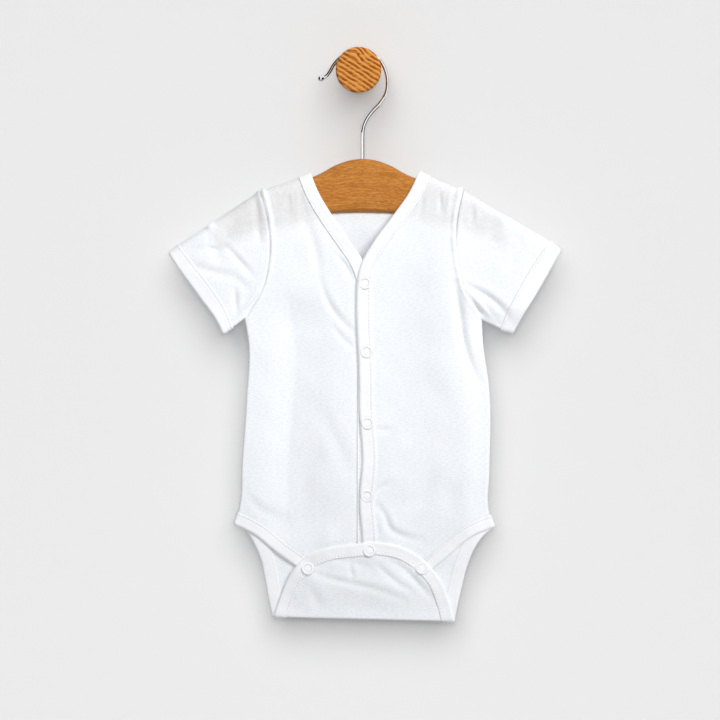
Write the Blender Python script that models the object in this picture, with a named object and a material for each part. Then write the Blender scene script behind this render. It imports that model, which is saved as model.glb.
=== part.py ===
"""Baby bodysuit with short sleeves, a V neck and a snapped front, on a wooden hanger that hangs from a round
wall peg.

+Z is up, the garment's front faces -Y, and +X is to the right as seen from the front. The origin is the
peg's axis on the wall. The wearer's right side is at -X. Sizes are worked out in millimetres, and meshes
are made in metres.
"""

import math

import bmesh
import bpy
import numpy as np
from mathutils import Matrix, Vector

MM = 0.001  # metres in a millimetre

# Cloth
MID_Y = -28.0  # middle of the hanger and of the garment
CLOTH = 1.1  # jersey wall
BAND = 2.0  # folded binding, through all its layers
GAP = 0.3  # between pieces at a seam
SEAM_HALF = 0.38  # from the garment's middle to the edge of a panel at a side or shoulder seam
UNDERARM_GAP = 1.0  # more gap round the corner where sleeve, side and armhole meet
UNDERARM_REACH = 12.0  # how far up the armhole that wider gap runs
BAND_WIDTH = 10.5  # bindings of the neck, cuffs and legs
PLACKET_WIDTH = 12.5  # binding down the upper front edge
PLACKET_EASE = (-150.0, -190.0)  # heights between which the neck binding widens into the placket
LAYER = 3.6  # from one snapped layer to the next, middle to middle
OVER_X = (60.0, 18.0)  # across the left front: where it starts to rise over the right one, and its full lift
OVER_Z = (-100.0, -155.0)  # and the same down its neck edge
FLAP_STEP_X = (-16.0, -4.0)  # where the flap starts to rise over the placket, and its full lift

# How far the cloth stands from the middle
SHOULDER_ROUND = 7.6  # bend over the hanger
SIDE_ROUND = 3.5  # bend at the side seams and under the sleeves
BODY_DEPTH = 10.0  # half depth that the body swells towards, well inside its sides
SWELL_OVER = 50.0  # distance from a side over which it swells
BLEND_POWER = 8.0  # sharpness of the change from shoulder bend to side bend
FLAT_EDGE = 1e-3  # least depth, so that the blend has no zero in it

# The foot of the back, where it folds up into the flap
FOLD_Z = -471.3
FOLD_SLOPE = -0.025
FOLD_REACH = 12.0  # height of the band of rows that turns round the fold
FOLD_LOOK = 7.0  # height over the fold at which its two layers' distance is taken

# Hanger
HANGER_X = 3.5
HANGER_THICK = 12.0
HANGER_ROUND = 5.0  # corner radius of its section, or less where the bar is thin or low:
ROUND_OF_THICK = 0.83  # of the half thickness
ROUND_OF_HEIGHT = 0.42  # of the height
HOLE_DEEP = 10.3
HOLE_CUT_ABOVE = 8.0
WIRE = 3.1
WIRE_IN_BAR = 10.0
HOOK_STATIONS = 46

# Peg
NECK_RADIUS = 15.15
KNOB_RADIUS = 20.0
KNOB_BACK_Y = -33.0
KNOB_FRONT_Y = -53.5
KNOB_BEVEL = 1.0  # at its back edge
KNOB_ROUND = 2.5  # at its front edge
KNOB_CROWN = 0.5  # how far its front stands out at the middle
PEG_SEGMENTS = 32

# Snaps
CAP_OUTER = 5.4
CAP_INNER = 3.3
CAP_THICK = 1.2
CAP_BEVEL = 0.6
CAP_WALL = 0.7  # height of its upright sides
CAP_SEGMENTS = 16
STUD_RADIUS = 3.8
STUD_THICK = 0.8
STUD_BEVEL = 0.2
STUD_SEGMENTS = 12

# Outlines in the front view, each row x, z, from the top down or from the side inwards
NECK_POINT = {"right": (-41.0, -89.0), "left": (52.0, -87.5)}
ARMHOLE = {
    "right": [(-85.0, -104.5), (-78.0, -134.0), (-77.0, -160.0), (-82.5, -187.0), (-98.0, -213.5)],
    "left": [(90.5, -103.5), (84.8, -135.0), (85.5, -163.0), (92.5, -192.0), (106.0, -214.5)],
}
SIDE = {
    "right": [
        (-98.0, -213.5), (-95.0, -230.0), (-96.5, -285.0), (-100.0, -335.0), (-103.0, -378.0),
        (-107.0, -390.0),
    ],
    "left": [
        (106.0, -214.5), (107.0, -233.0), (112.5, -275.0), (112.5, -345.0), (112.0, -378.0),
        (116.5, -392.5),
    ],
}
CUFF_SEAM = {
    "right": [(-154.5, -150.5), (-140.0, -169.0), (-125.0, -188.5), (-113.5, -207.0), (-108.0, -221.0)],
    "left": [(164.5, -147.0), (150.0, -168.0), (137.0, -190.0), (128.0, -208.0), (122.0, -223.0)],
}
CUFF_EDGE = {
    "right": [(-163.0, -158.0), (-150.5, -176.0), (-133.5, -199.0), (-122.0, -215.0), (-116.5, -226.5)],
    "left": [(173.5, -155.0), (162.5, -175.0), (150.0, -196.5), (140.5, -211.5), (133.0, -225.5)],
}
HEM_SEAM_Z = -431.7  # where both plackets end on the hem binding
V_EDGE = {
    "right": [
        (-41.0, -89.0), (-35.0, -104.0), (-24.0, -123.0), (-7.5, -147.0), (2.5, -162.0), (8.5, -178.0),
        (9.5, -194.0), (9.5, -310.0), (9.5, HEM_SEAM_Z),
    ],
    "left": [
        (52.0, -87.5), (43.5, -105.5), (30.5, -124.0), (12.5, -148.5), (2.5, -167.0), (-1.0, -183.0),
        (-1.5, -199.0), (0.5, -257.0), (1.0, -295.0), (3.5, -335.0), (1.0, -370.0), (3.5, -404.0),
        (3.5, HEM_SEAM_Z),
    ],
}
BACK_NECK = [
    (-41.0, -89.0), (-35.5, -98.0), (-18.0, -106.0), (5.5, -109.0), (29.0, -105.5), (46.5, -97.0),
    (52.0, -87.5),
]
FRONT_LEG = {
    "right": [
        (-107.0, -390.0), (-90.0, -398.5), (-70.0, -414.5), (-53.0, -426.5), (-40.0, -435.5), (-24.5, -441.0),
        (-8.0, -442.5), (9.5, -442.5),
    ],
    "left": [
        (116.5, -392.5), (96.0, -401.5), (77.5, -417.0), (64.5, -428.0), (53.0, -435.5), (37.5, -441.0),
        (22.0, -442.5), (3.5, -442.5),
    ],
}
BACK_LEG = {
    "right": [
        (-107.0, -390.0), (-96.5, -396.0), (-88.5, -408.5), (-83.0, -422.5), (-79.5, -440.0),
        (-76.5, -457.0),
    ],
    "left": [
        (116.5, -392.5), (106.0, -401.0), (98.5, -412.5), (92.5, -428.0), (88.5, -444.0),
        (85.0, -459.0),
    ],
}
FLAP_EDGE = [
    (-66.5, -451.0), (-57.0, -431.0), (-46.5, -419.5), (-27.0, -410.5), (-5.0, -407.5), (20.0, -406.0),
    (38.0, -410.0), (56.0, -421.5), (69.0, -436.0), (78.0, -457.0),
]
FLAP_CORNER_X = (-46.0, 56.0)  # where the flap's end turns into its sides

# Depth of the garment, as a share of the full one, at each height
DEPTH_ROWS = [("z", "share"), (-260.0, 1.0), (-350.0, 0.84), (-420.0, 0.66), (-480.0, 0.6)]
SLEEVE_FLAT_X = (128.0, 168.0)  # distances from the hanger's middle between which a sleeve thins
SLEEVE_FLAT_SHARE = 0.72

# The largest folds, as troughs: their sheet, their run in the front view, their depth and half width
FOLDS = [
    ("sheet", "from", "to", "depth", "width"),
    ("front", (-34.0, -146.0), (-6.0, -222.0), 1.7, 11.0),
    ("front", (-31.0, -188.0), (-9.0, -240.0), 1.2, 9.0),
    ("front", (80.0, -172.0), (90.0, -246.0), 2.2, 10.0),
    ("front", (90.0, -246.0), (107.0, -268.0), 1.4, 9.0),
    ("front", (20.0, -378.0), (56.0, -402.0), 1.4, 9.0),
    ("front", (-94.0, -368.0), (-62.0, -386.0), 1.6, 11.0),
    ("front", (-112.0, -160.0), (-92.0, -176.0), 1.3, 9.0),
    ("front", (92.0, -186.0), (134.0, -200.0), 1.9, 10.0),
    ("front", (101.0, -198.0), (120.0, -218.0), 1.1, 8.0),
    ("flap", (24.0, -434.0), (62.0, -452.0), 1.3, 10.0),
    ("flap", (-8.0, -428.0), (16.0, -444.0), 1.0, 9.0),
    ("back", (-52.0, -142.0), (-66.0, -256.0), 1.8, 13.0),
    ("back", (34.0, -196.0), (70.0, -318.0), 1.6, 13.0),
    ("back", (-84.0, -342.0), (-40.0, -378.0), 1.5, 11.0),
    ("back", (92.0, -338.0), (54.0, -384.0), 1.7, 12.0),
    ("back", (-122.0, -168.0), (-98.0, -190.0), 1.5, 9.0),
    ("back", (142.0, -172.0), (104.0, -194.0), 1.6, 10.0),
]

# Hanger bar: distance from its middle, top and bottom
BAR_ROWS = [
    ("out", "top", "bottom"),
    (0.0, -76.0, -122.0),
    (12.0, -77.6, -122.2),
    (24.0, -82.0, -122.6),
    (36.0, -88.6, -123.6),
    (45.0, -92.5, -125.0),
    (60.0, -97.2, -128.0),
    (75.0, -102.0, -131.0),
    (88.0, -107.2, -134.5),
    (100.0, -114.0, -138.5),
    (112.0, -122.2, -143.5),
    (124.0, -130.5, -149.0),
]
BAR_TIP = 6.0  # length of the rounded end past the last row
BAR_TIP_TURNS = (30.0, 55.0, 78.0)  # degrees round that end at which it has a section
BAR_TIP_SLOPE = 0.8

# Hook's centre line, x and z, from the bar up and over the peg to the bead at its free end
HOOK_ROUTE = [
    (3.5, -66.0), (3.5, -57.0), (4.0, -50.0), (6.5, -43.0), (11.5, -35.8), (18.0, -29.0), (23.4, -20.5),
    (25.0, -10.5), (23.0, 0.5), (17.8, 9.4), (9.8, 15.0), (0.0, 17.0), (-9.8, 15.0), (-17.2, 10.0),
    (-21.8, 4.2), (-25.5, -1.0), (-29.0, -5.2), (-33.0, -7.6),
]
BEAD = [("back", "share"), (5.2, 1.0), (3.9, 1.3), (2.6, 1.6), (1.2, 1.55), (0.4, 1.2), (0.0, 0.6)]

# Snap caps: centre x and z, and the two layers that each one joins
SNAPS = [
    ("x", "z", "over", "under"),
    (5.4, -182.8, "top", "under"),
    (6.8, -241.8, "top", "under"),
    (7.6, -303.2, "top", "under"),
    (7.2, -365.8, "top", "under"),
    (9.4, -412.8, "flap", "top"),
    (-43.5, -428.5, "flap", "under"),
    (54.5, -428.2, "flap", "top"),
]

COLOURS = {
    "cloth": ((0.90, 0.91, 0.93), 0.85, 0.0),
    "wood": ((0.56, 0.22, 0.05), 0.45, 0.0),
    "chrome": ((0.75, 0.75, 0.76), 0.15, 1.0),
    "snap": ((0.92, 0.93, 0.94), 0.35, 0.0),
}


# ---------------------------------------------------------------- curves


def smooth(t):
    """0 below 0, 1 above 1, and an S curve between."""
    t = np.clip(t, 0.0, 1.0)
    return t * t * (3.0 - 2.0 * t)


def rise(values, start, full):
    """0 where the values are at the start or before it, 1 at full or past it, and an S curve between."""
    return smooth((values - start) / (full - start))


def spline(points, step=1.5):
    """A smooth curve through the points, as a close polyline. Uneven distances between them do no harm."""
    p = np.asarray(points, float)
    chord = np.linalg.norm(np.diff(p, axis=0), axis=1)[:, None]
    slope = np.diff(p, axis=0) / chord
    inner = (slope[:-1] * chord[1:] + slope[1:] * chord[:-1]) / (chord[:-1] + chord[1:])
    tangent = np.vstack([1.5 * slope[:1] - 0.5 * inner[:1], inner, 1.5 * slope[-1:] - 0.5 * inner[-1:]])
    out = []
    for a, b, start, end, length in zip(p[:-1], p[1:], tangent[:-1], tangent[1:], chord):
        t = np.linspace(0.0, 1.0, max(2, math.ceil(float(length[0]) / step)), endpoint=False)[:, None]
        rise = t * t * (3.0 - 2.0 * t)
        out.append(a + (b - a) * rise + length * (t * (1 - t) ** 2 * start - t * t * (1 - t) * end))
    return np.vstack(out + [p[-1:]])


def lengths(curve):
    """Distance along a polyline to each of its points."""
    return np.concatenate([[0.0], np.cumsum(np.linalg.norm(np.diff(curve, axis=0), axis=1))])


def at(curve, where):
    """Points of a polyline at the distances in where."""
    along = lengths(curve)
    return np.column_stack([np.interp(where, along, values) for values in curve.T])


def marks(curve, start=(0.0,), middle=8, end=(0.0,)):
    """Places along a curve, as fractional indexes: close steps from its ends and even ones between them."""
    along = lengths(curve)
    even = np.linspace(start[-1], along[-1] - end[-1], middle + 1)[1:-1]
    where = np.concatenate([start, even, along[-1] - np.array(end[::-1])])
    return np.interp(where, along, np.arange(len(curve)))


def pick(curve, places):
    """Points of a curve at fractional indexes."""
    return np.column_stack([np.interp(places, np.arange(len(curve)), values) for values in curve.T])


def stretch(curve, begin, finish, start=(0.0,), middle=4):
    """Places on part of a curve, from one fractional index to another, in either direction."""
    along = lengths(curve)
    index = np.arange(len(curve))
    first, last = np.interp([begin, finish], index, along)
    steps = np.concatenate([start, np.linspace(start[-1], abs(last - first), middle + 1)[1:]])
    return np.interp(first + math.copysign(1.0, last - first) * steps, along, index)


def spread(curve, start=(0.0,), middle=8, end=(0.0,)):
    """Points of a curve at close steps from its ends and evenly between them."""
    return pick(curve, marks(curve, start, middle, end))


def offset(curve, width, first=None, last=None, ease=18.0):
    """The curve moved sideways, to the left of its direction where the width is positive.

    Near an end it is moved along first or last instead.
    """
    width = np.broadcast_to(np.asarray(width, float), len(curve))
    run = np.gradient(curve, axis=0)
    aside = np.column_stack([-run[:, 1], run[:, 0]]) * np.sign(width)[:, None]
    aside /= np.linalg.norm(aside, axis=1, keepdims=True)
    along = lengths(curve)
    for end, far in ((first, along), (last, along[-1] - along)):
        if end is not None:
            share = rise(far, ease, 0.0)[:, None]
            aside = aside * (1 - share) + np.asarray(end) / np.linalg.norm(end) * share
    aside /= np.linalg.norm(aside, axis=1, keepdims=True)
    return curve + aside * np.abs(width)[:, None]


def bend_steps(radius, count):
    """Distances from an edge that divide a quarter bend evenly."""
    return tuple(radius * (1.0 - math.cos(math.pi / 2 * i / count)) for i in range(count + 1))


def coons(top, bottom, left, right):
    """A grid of points, rows from top to bottom, filled in between four edges that share their corners."""
    u = (lengths(top) / lengths(top)[-1] + lengths(bottom) / lengths(bottom)[-1])[None, :, None] / 2
    v = (lengths(left) / lengths(left)[-1] + lengths(right) / lengths(right)[-1])[:, None, None] / 2
    across = (1 - v) * top[None] + v * bottom[None]
    down = (1 - u) * left[:, None] + u * right[:, None]
    corners = (1 - u) * ((1 - v) * top[0] + v * bottom[0]) + u * ((1 - v) * top[-1] + v * bottom[-1])
    return across + down - corners


def distance(points, line):
    """Distance from each point to a polyline."""
    best = np.full(points.shape[:-1], 1e9)
    for a, b in zip(line[:-1], line[1:]):
        run = b - a
        t = np.clip(((points - a) @ run) / (run @ run), 0.0, 1.0)
        best = np.minimum(best, np.linalg.norm(points - a - t[..., None] * run, axis=-1))
    return best


# ---------------------------------------------------------------- the garment's form

SIGN = {"right": -1.0, "left": 1.0}
RIDGE = {s: np.array([NECK_POINT[s], ARMHOLE[s][0], CUFF_SEAM[s][0], CUFF_EDGE[s][0]]) for s in SIGN}
SIDE_LINE = {s: spline(SIDE[s], 4.0) for s in SIGN}
UNDERARM = {s: np.array([SIDE[s][0], CUFF_SEAM[s][-1], CUFF_EDGE[s][-1]]) for s in SIGN}


def bend(far, radius):
    """Height of a quarter round at a distance from its edge."""
    return np.sqrt(np.maximum(radius**2 - (radius - np.minimum(far, radius)) ** 2, 0.0))


def half_depth(points):
    """Distance of the cloth from the garment's middle, at points of the front view."""
    ridge = np.minimum(distance(points, RIDGE["right"]), distance(points, RIDGE["left"]))
    side = np.minimum.reduce([distance(points, line[s]) for line in (SIDE_LINE, UNDERARM) for s in SIGN])
    swell = SIDE_ROUND + (BODY_DEPTH - SIDE_ROUND) * smooth(side / SWELL_OVER)
    by_side = np.maximum(bend(side, SIDE_ROUND) / SIDE_ROUND * swell, FLAT_EDGE)
    by_ridge = np.maximum(bend(ridge, SHOULDER_ROUND), FLAT_EDGE)
    depth = (by_side**-BLEND_POWER + by_ridge**-BLEND_POWER) ** (-1.0 / BLEND_POWER)
    rows = np.array(DEPTH_ROWS[1:])[::-1]
    depth = depth * np.interp(points[..., 1], rows[:, 0], rows[:, 1])
    thin = rise(np.abs(points[..., 0] - HANGER_X), *SLEEVE_FLAT_X)
    return depth * (1.0 - (1.0 - SLEEVE_FLAT_SHARE) * thin)


def top_lift(points):
    """How far the left front stands before the right one, which it covers at the placket."""
    return LAYER * rise(points[..., 0], *OVER_X) * rise(points[..., 1], *OVER_Z)


def flap_lift(points):
    """How far the flap stands before the right front, over the left front too where that one is."""
    x = points[..., 0]
    return LAYER + LAYER * rise(x, *FLAP_STEP_X) * rise(x, *OVER_X)


LIFTS = {"under": lambda p: 0.0 * p[..., 0], "top": top_lift, "flap": flap_lift}


def trough(points, sheet):
    """How far the folds of one sheet sink at points of the front view."""
    sunk = np.zeros(points.shape[:-1])
    for owner, start, end, depth, width in FOLDS[1:]:
        if owner == sheet:
            run = np.subtract(end, start)
            t = np.clip(((points - start) @ run) / (run @ run), 0.0, 1.0)
            aside = np.linalg.norm(points - start - t[..., None] * run, axis=-1)
            sunk += depth * np.exp(-2.0 * (aside / width) ** 2) * (0.3 + 0.7 * np.sin(math.pi * t))
    return sunk


def front(points, layer="under", least=0.0):
    """Front view points on the front of the garment, in space."""
    points = np.asarray(points, float)
    depth = np.maximum(half_depth(points) - trough(points, "front"), least)
    return np.stack([points[..., 0], MID_Y - depth - LIFTS[layer](points), points[..., 1]], axis=-1)


def behind(points, least=0.0):
    """Front view points on the back of the garment, in space."""
    depth = np.maximum(half_depth(points) - trough(points, "back"), least)
    return np.stack([points[..., 0], MID_Y + depth, points[..., 1]], axis=-1)


def fold_shape(x):
    """The fold under the crotch at each x: its lowest z, its radius and its middle y."""
    low = FOLD_Z + FOLD_SLOPE * x
    near = np.stack([x, low + FOLD_LOOK], axis=-1)
    depth = half_depth(near)
    ahead = depth + flap_lift(near)
    return low, (depth + ahead) / 2, MID_Y + (depth - ahead) / 2


def fold_line(x):
    """Where the fold's middle lies on the unrolled cloth."""
    low, radius, _ = fold_shape(x)
    return low + radius * (1.0 - math.pi / 2)


def unroll(points):
    """Front view points of the flap, on the unrolled back."""
    points = np.asarray(points, float)
    return np.column_stack([points[:, 0], 2 * fold_line(points[:, 0]) - points[:, 1]])


def back(points, least=0.0):
    """Points x, q of the unrolled back in space: q is z down to the fold, and runs on up the flap."""
    points = np.asarray(points, float)
    x, q = points[..., 0], points[..., 1]
    low, radius, middle = fold_shape(x)
    past = q - fold_line(x)
    quarter = radius * math.pi / 2
    turn = np.clip(past / quarter, -1.0, 1.0) * math.pi / 2
    straight = np.maximum(np.abs(past) - quarter, 0.0)
    z = low + radius * (1.0 - np.cos(turn)) + straight
    here = np.stack([x, z], axis=-1)
    flap_y = MID_Y - half_depth(here) - flap_lift(here) + trough(here, "flap")
    y = np.where(past > 0, behind(here, least)[..., 1], flap_y)
    y = np.where(np.abs(past) < quarter, middle + radius * np.sin(turn), y)
    return np.stack([x, y, z], axis=-1)


# ---------------------------------------------------------------- meshes and objects


def material(kind):
    """The Principled material of one kind of surface, made once."""
    if kind in bpy.data.materials:
        return bpy.data.materials[kind]
    colour, roughness, metallic = COLOURS[kind]
    made = bpy.data.materials.new(kind)
    made.use_nodes = True
    shader = made.node_tree.nodes["Principled BSDF"]
    shader.inputs["Base Color"].default_value = (*colour, 1.0)
    shader.inputs["Roughness"].default_value = roughness
    shader.inputs["Metallic"].default_value = metallic
    return made


def add_object(name, data, kind):
    """Links an object with its material and shades its mesh smooth."""
    made = bpy.data.objects.new(name, data)
    bpy.context.scene.collection.objects.link(made)
    data.materials.append(material(kind))
    if made.type == "MESH":
        data.shade_smooth()
    return made


def mesh_from(points, faces, name):
    """A mesh in metres from points in millimetres, its faces all turned outwards."""
    mesh = bpy.data.meshes.new(name)
    mesh.from_pydata((np.asarray(points) * MM).tolist(), [], faces)
    work = bmesh.new()
    work.from_mesh(mesh)
    bmesh.ops.recalc_face_normals(work, faces=work.faces)
    work.to_mesh(mesh)
    work.free()
    return mesh


def grid_faces(rows, columns, ring=False):
    """Quads of a grid of points, closed from its last row to its first one if it is a ring."""
    quads = []
    for r in range(rows if ring else rows - 1):
        for c in range(columns - 1):
            below = (r + 1) % rows
            quads.append((r * columns + c, r * columns + c + 1, below * columns + c + 1, below * columns + c))
    return quads


def cloth(name, grid, ring=False):
    """One piece of jersey: a grid of points thickened to the cloth's wall."""
    rows, columns = grid.shape[:2]
    mesh = mesh_from(grid.reshape(-1, 3), grid_faces(rows, columns, ring), name)
    made = add_object(name, mesh, "cloth")
    wall = made.modifiers.new("Wall", "SOLIDIFY")
    wall.thickness = CLOTH * MM
    wall.offset = 0.0
    return made


def loft(name, rings, kind, closed=False):
    """A solid through rings of points, capped at both ends unless it closes on itself."""
    count, sides = rings.shape[:2]
    faces = []
    for r in range(count if closed else count - 1):
        for c in range(sides):
            after, below = (c + 1) % sides, (r + 1) % count
            faces.append((r * sides + c, r * sides + after, below * sides + after, below * sides + c))
    if not closed:
        faces.append(tuple(range(sides)))
        faces.append(tuple((count - 1) * sides + c for c in reversed(range(sides))))
    return add_object(name, mesh_from(rings.reshape(-1, 3), faces, name), kind)


# A folded binding's section: share of its width from the free edge, distance from there, share of thickness
BAND_SECTION = [
    ("share", "past", "up"),
    (0.0, 0.0, 0.22), (0.0, 0.6, 0.5), (1.0, -0.6, 0.5), (1.0, 0.0, 0.22),
    (1.0, 0.0, -0.22), (1.0, -0.6, -0.5), (0.0, 0.6, -0.5), (0.0, 0.0, -0.22),
]


def binding(name, free, seam, closed=False, ends=(None, None)):
    """A folded band of jersey between its free edge and its seam, two rows of points in space.

    An end that meets another piece at a side seam is cut square to the direction given for it in ends.
    """
    across = seam - free
    width = np.linalg.norm(across, axis=1, keepdims=True)
    across = across / width
    middle = (free + seam) / 2
    if closed:
        run = np.roll(middle, -1, axis=0) - np.roll(middle, 1, axis=0)
    else:
        run = np.gradient(middle, axis=0)
    for station, direction in zip((0, -1), ends):
        if direction is not None:
            run[station] = direction
    up = np.cross(across, run)
    up /= np.linalg.norm(up, axis=1, keepdims=True)
    up *= BAND
    rings = [free + across * (share * width + past) + up * lift for share, past, lift in BAND_SECTION[1:]]
    return loft(name, np.stack(rings, axis=1), "cloth", closed)


def turn_rings(profile, segments):
    """Copies of a profile, rows of radius and height, at even angles about +Z."""
    angles = [2 * math.pi * i / segments for i in range(segments)]
    return np.array([[(r * math.cos(a), r * math.sin(a), h) for r, h in profile] for a in angles])


def turned_ring(name, profile, segments, kind):
    """A closed profile turned about its own +Z."""
    return loft(name, turn_rings(profile, segments), kind, closed=True)


def turned(name, profile, segments, kind):
    """A profile turned about its own +Z. It starts and ends on the axis, where all its copies meet."""
    count = len(profile) - 2
    poles = [(0.0, 0.0, profile[end][1]) for end in (0, -1)]
    points = np.vstack([turn_rings(profile[1:-1], segments).reshape(-1, 3), poles])
    foot, tip = segments * count, segments * count + 1
    faces = grid_faces(segments, count, ring=True)
    for i in range(segments):
        after = (i + 1) % segments
        faces.append((foot, i * count, after * count))
        faces.append((tip, after * count + count - 1, i * count + count - 1))
    return add_object(name, mesh_from(points, faces, name), kind)


# ---------------------------------------------------------------- cloth pieces

TOP_STEPS = bend_steps(SHOULDER_ROUND, 4)
SIDE_STEPS = bend_steps(SIDE_ROUND, 3)
PANEL_COLUMNS = 8  # across a front, past the side's bend
ARMHOLE_ROWS = 6  # between the bends at the shoulder and under the arm
SIDE_ROWS = 5
LEG_ROWS = 4  # down a back leg edge, to the fold
HEM_STATIONS = 3  # along the stretch of hem binding under the placket
FOLD_ROWS = 8
FLAP_ROWS = 4
SHOULDER_COLUMNS = 2
BACK_NECK_COLUMNS = 4
SLEEVE_COLUMNS = 6


def placket_width(curve):
    """Width of the neck binding along the left front: wider once it has come down to the placket."""
    return BAND_WIDTH + (PLACKET_WIDTH - BAND_WIDTH) * rise(curve[:, 1], *PLACKET_EASE)


def edge_lines(free, width, first=None, last=None):
    """A bound edge as three lines in step: its free edge, its seam and the edge of the cloth sewn to it."""
    return free, offset(free, width, first, last), offset(free, width + np.sign(width) * GAP, first, last)


def along_ridge(side):
    """Direction from the neck point down the shoulder seam."""
    return RIDGE[side][1] - RIDGE[side][0]


def up_side(side):
    """Direction from the hip corner up the side seam."""
    return np.subtract(SIDE[side][-2], SIDE[side][-1])


def neck_lines(side):
    """A front's bound edge from the neck point down to the hem."""
    free = spline(V_EDGE[side])
    width = placket_width(free) if side == "left" else np.full(len(free), -BAND_WIDTH)
    return edge_lines(free, width, first=along_ridge(side))


def leg_lines(side):
    """A front's bound leg edge from the hip corner to the placket's edge."""
    return edge_lines(spline(FRONT_LEG[side]), -SIGN[side] * BAND_WIDTH, first=up_side(side))


def back_neck_lines():
    """The bound back neck edge from the right neck point to the left one."""
    return edge_lines(spline(BACK_NECK), -BAND_WIDTH, first=along_ridge("right"), last=along_ridge("left"))


def back_lines():
    """The back's bound edge from one hip round the unrolled flap to the other hip."""
    free = spline(np.vstack([BACK_LEG["right"], unroll(FLAP_EDGE), BACK_LEG["left"][::-1]]))
    return edge_lines(free, BAND_WIDTH, first=up_side("right"), last=up_side("left"))


def armhole_rows(line):
    """Stations round an armhole, the same on the panels, the sleeve and the cuff."""
    return marks(line, TOP_STEPS, ARMHOLE_ROWS, SIDE_STEPS)


def outer_edge(side, hip):
    """A panel's edge down the armhole and then the side seam, as far as the point at the hip."""
    armhole = spline(ARMHOLE[side])
    seam = spline(SIDE[side])
    seam = np.vstack([seam[seam[:, 1] > hip[1] + 1.0], hip])
    return np.vstack([pick(armhole, armhole_rows(armhole)), spread(seam, middle=SIDE_ROWS)[1:]])


def neck_places(side, outer):
    """Stations down a front's bound edge, in step with those down its outer edge."""
    along = lengths(neck_lines(side)[2])
    share = lengths(outer) / lengths(outer)[-1]
    return np.interp(share * along[-1], along, np.arange(len(along)))


def leg_places(side):
    """Stations along a front's bound leg edge: those of the panel, then those under the placket."""
    cloth_edge = leg_lines(side)[2]
    inwards = -SIGN[side]
    corner = neck_lines(side)[2][-1, 0]
    last = float(np.interp(inwards * corner, inwards * cloth_edge[:, 0], np.arange(len(cloth_edge))))
    panel = stretch(cloth_edge, 0.0, last, SIDE_STEPS, PANEL_COLUMNS)
    return panel, np.concatenate([panel, np.linspace(last, len(cloth_edge) - 1, HEM_STATIONS)[1:]])


def front_panel(side, layer):
    """One front, between shoulder, armhole and side, neck seam and leg seam."""
    hem = pick(leg_lines(side)[2], leg_places(side)[0])
    outer = outer_edge(side, hem[0])
    inner = pick(neck_lines(side)[2], neck_places(side, outer))
    inner[-1] = hem[-1]
    shoulder = spread(np.array([outer[0], inner[0]]), SIDE_STEPS, PANEL_COLUMNS)
    return cloth(f"front_{side}", front(coons(shoulder, hem, outer, inner), layer, least=SEAM_HALF))


def back_places():
    """Stations along the back's bound edge: down the legs, beside the fold, up the flap and over its end."""
    edge = back_lines()[2]
    half = int(np.argmin(edge[:, 1]))
    past = edge[:, 1] - fold_line(edge[:, 0])
    index = np.arange(len(edge))
    levels = np.linspace(FOLD_REACH, -FOLD_REACH, FOLD_ROWS + 1)
    fold = {
        "right": np.interp(-levels, -past[:half], index[:half]),
        "left": np.interp(levels[::-1], past[half:], index[half:])[::-1],
    }
    corner = dict(zip(("right", "left"), np.interp(FLAP_CORNER_X, edge[:, 0], index)))
    hip = {"right": 0.0, "left": index[-1]}
    return {
        "leg": {s: stretch(edge, hip[s], fold[s][0], SIDE_STEPS, LEG_ROWS) for s in SIGN},
        "fold": fold,
        "flap": {s: stretch(edge, fold[s][-1], corner[s], middle=FLAP_ROWS) for s in SIGN},
        "end": stretch(edge, corner["right"], corner["left"], middle=back_columns()),
    }


def back_columns():
    """Number of columns across the back."""
    shoulder = len(SIDE_STEPS) - 1 + SHOULDER_COLUMNS
    return 2 * shoulder + 2 * (len(TOP_STEPS) - 1) + BACK_NECK_COLUMNS


def back_panel():
    """The back with its crotch flap, one cut that folds at the foot and comes up in front."""
    edge = back_lines()[2]
    places = back_places()
    leg = {s: pick(edge, places["leg"][s]) for s in SIGN}
    outer = {s: np.vstack([outer_edge(s, leg[s][0]), leg[s][1:]]) for s in SIGN}
    neck = spread(back_neck_lines()[2], TOP_STEPS, BACK_NECK_COLUMNS, TOP_STEPS)
    shoulders = (
        spread(np.array([outer["right"][0], neck[0]]), SIDE_STEPS, SHOULDER_COLUMNS),
        spread(np.array([neck[-1], outer["left"][0]]), (0.0,), SHOULDER_COLUMNS, SIDE_STEPS),
    )
    top = np.vstack([shoulders[0][:-1], neck, shoulders[1][1:]])
    inside = back_columns() - 2 * (len(SIDE_STEPS) - 1)

    def row(right, left):
        """Points straight across between two points, closer together at the edges."""
        return spread(np.array([right, left]), SIDE_STEPS, inside, SIDE_STEPS)

    upper = coons(top, row(outer["right"][-1], outer["left"][-1]), outer["right"], outer["left"])
    fold = {s: pick(edge, places["fold"][s]) for s in SIGN}
    rows = np.array([row(*ends) for ends in zip(fold["right"], fold["left"])])
    flap = {s: pick(edge, places["flap"][s]) for s in SIGN}
    lower = coons(rows[-1], pick(edge, places["end"]), flap["right"], flap["left"])
    return cloth("back_panel", back(np.concatenate([upper, rows[1:], lower[1:]]), least=SEAM_HALF))


def ring_of(flat):
    """Front view rows as rings in space: down the garment's front and up its back."""
    return np.concatenate([front(flat), behind(flat[-2:0:-1])])


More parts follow.
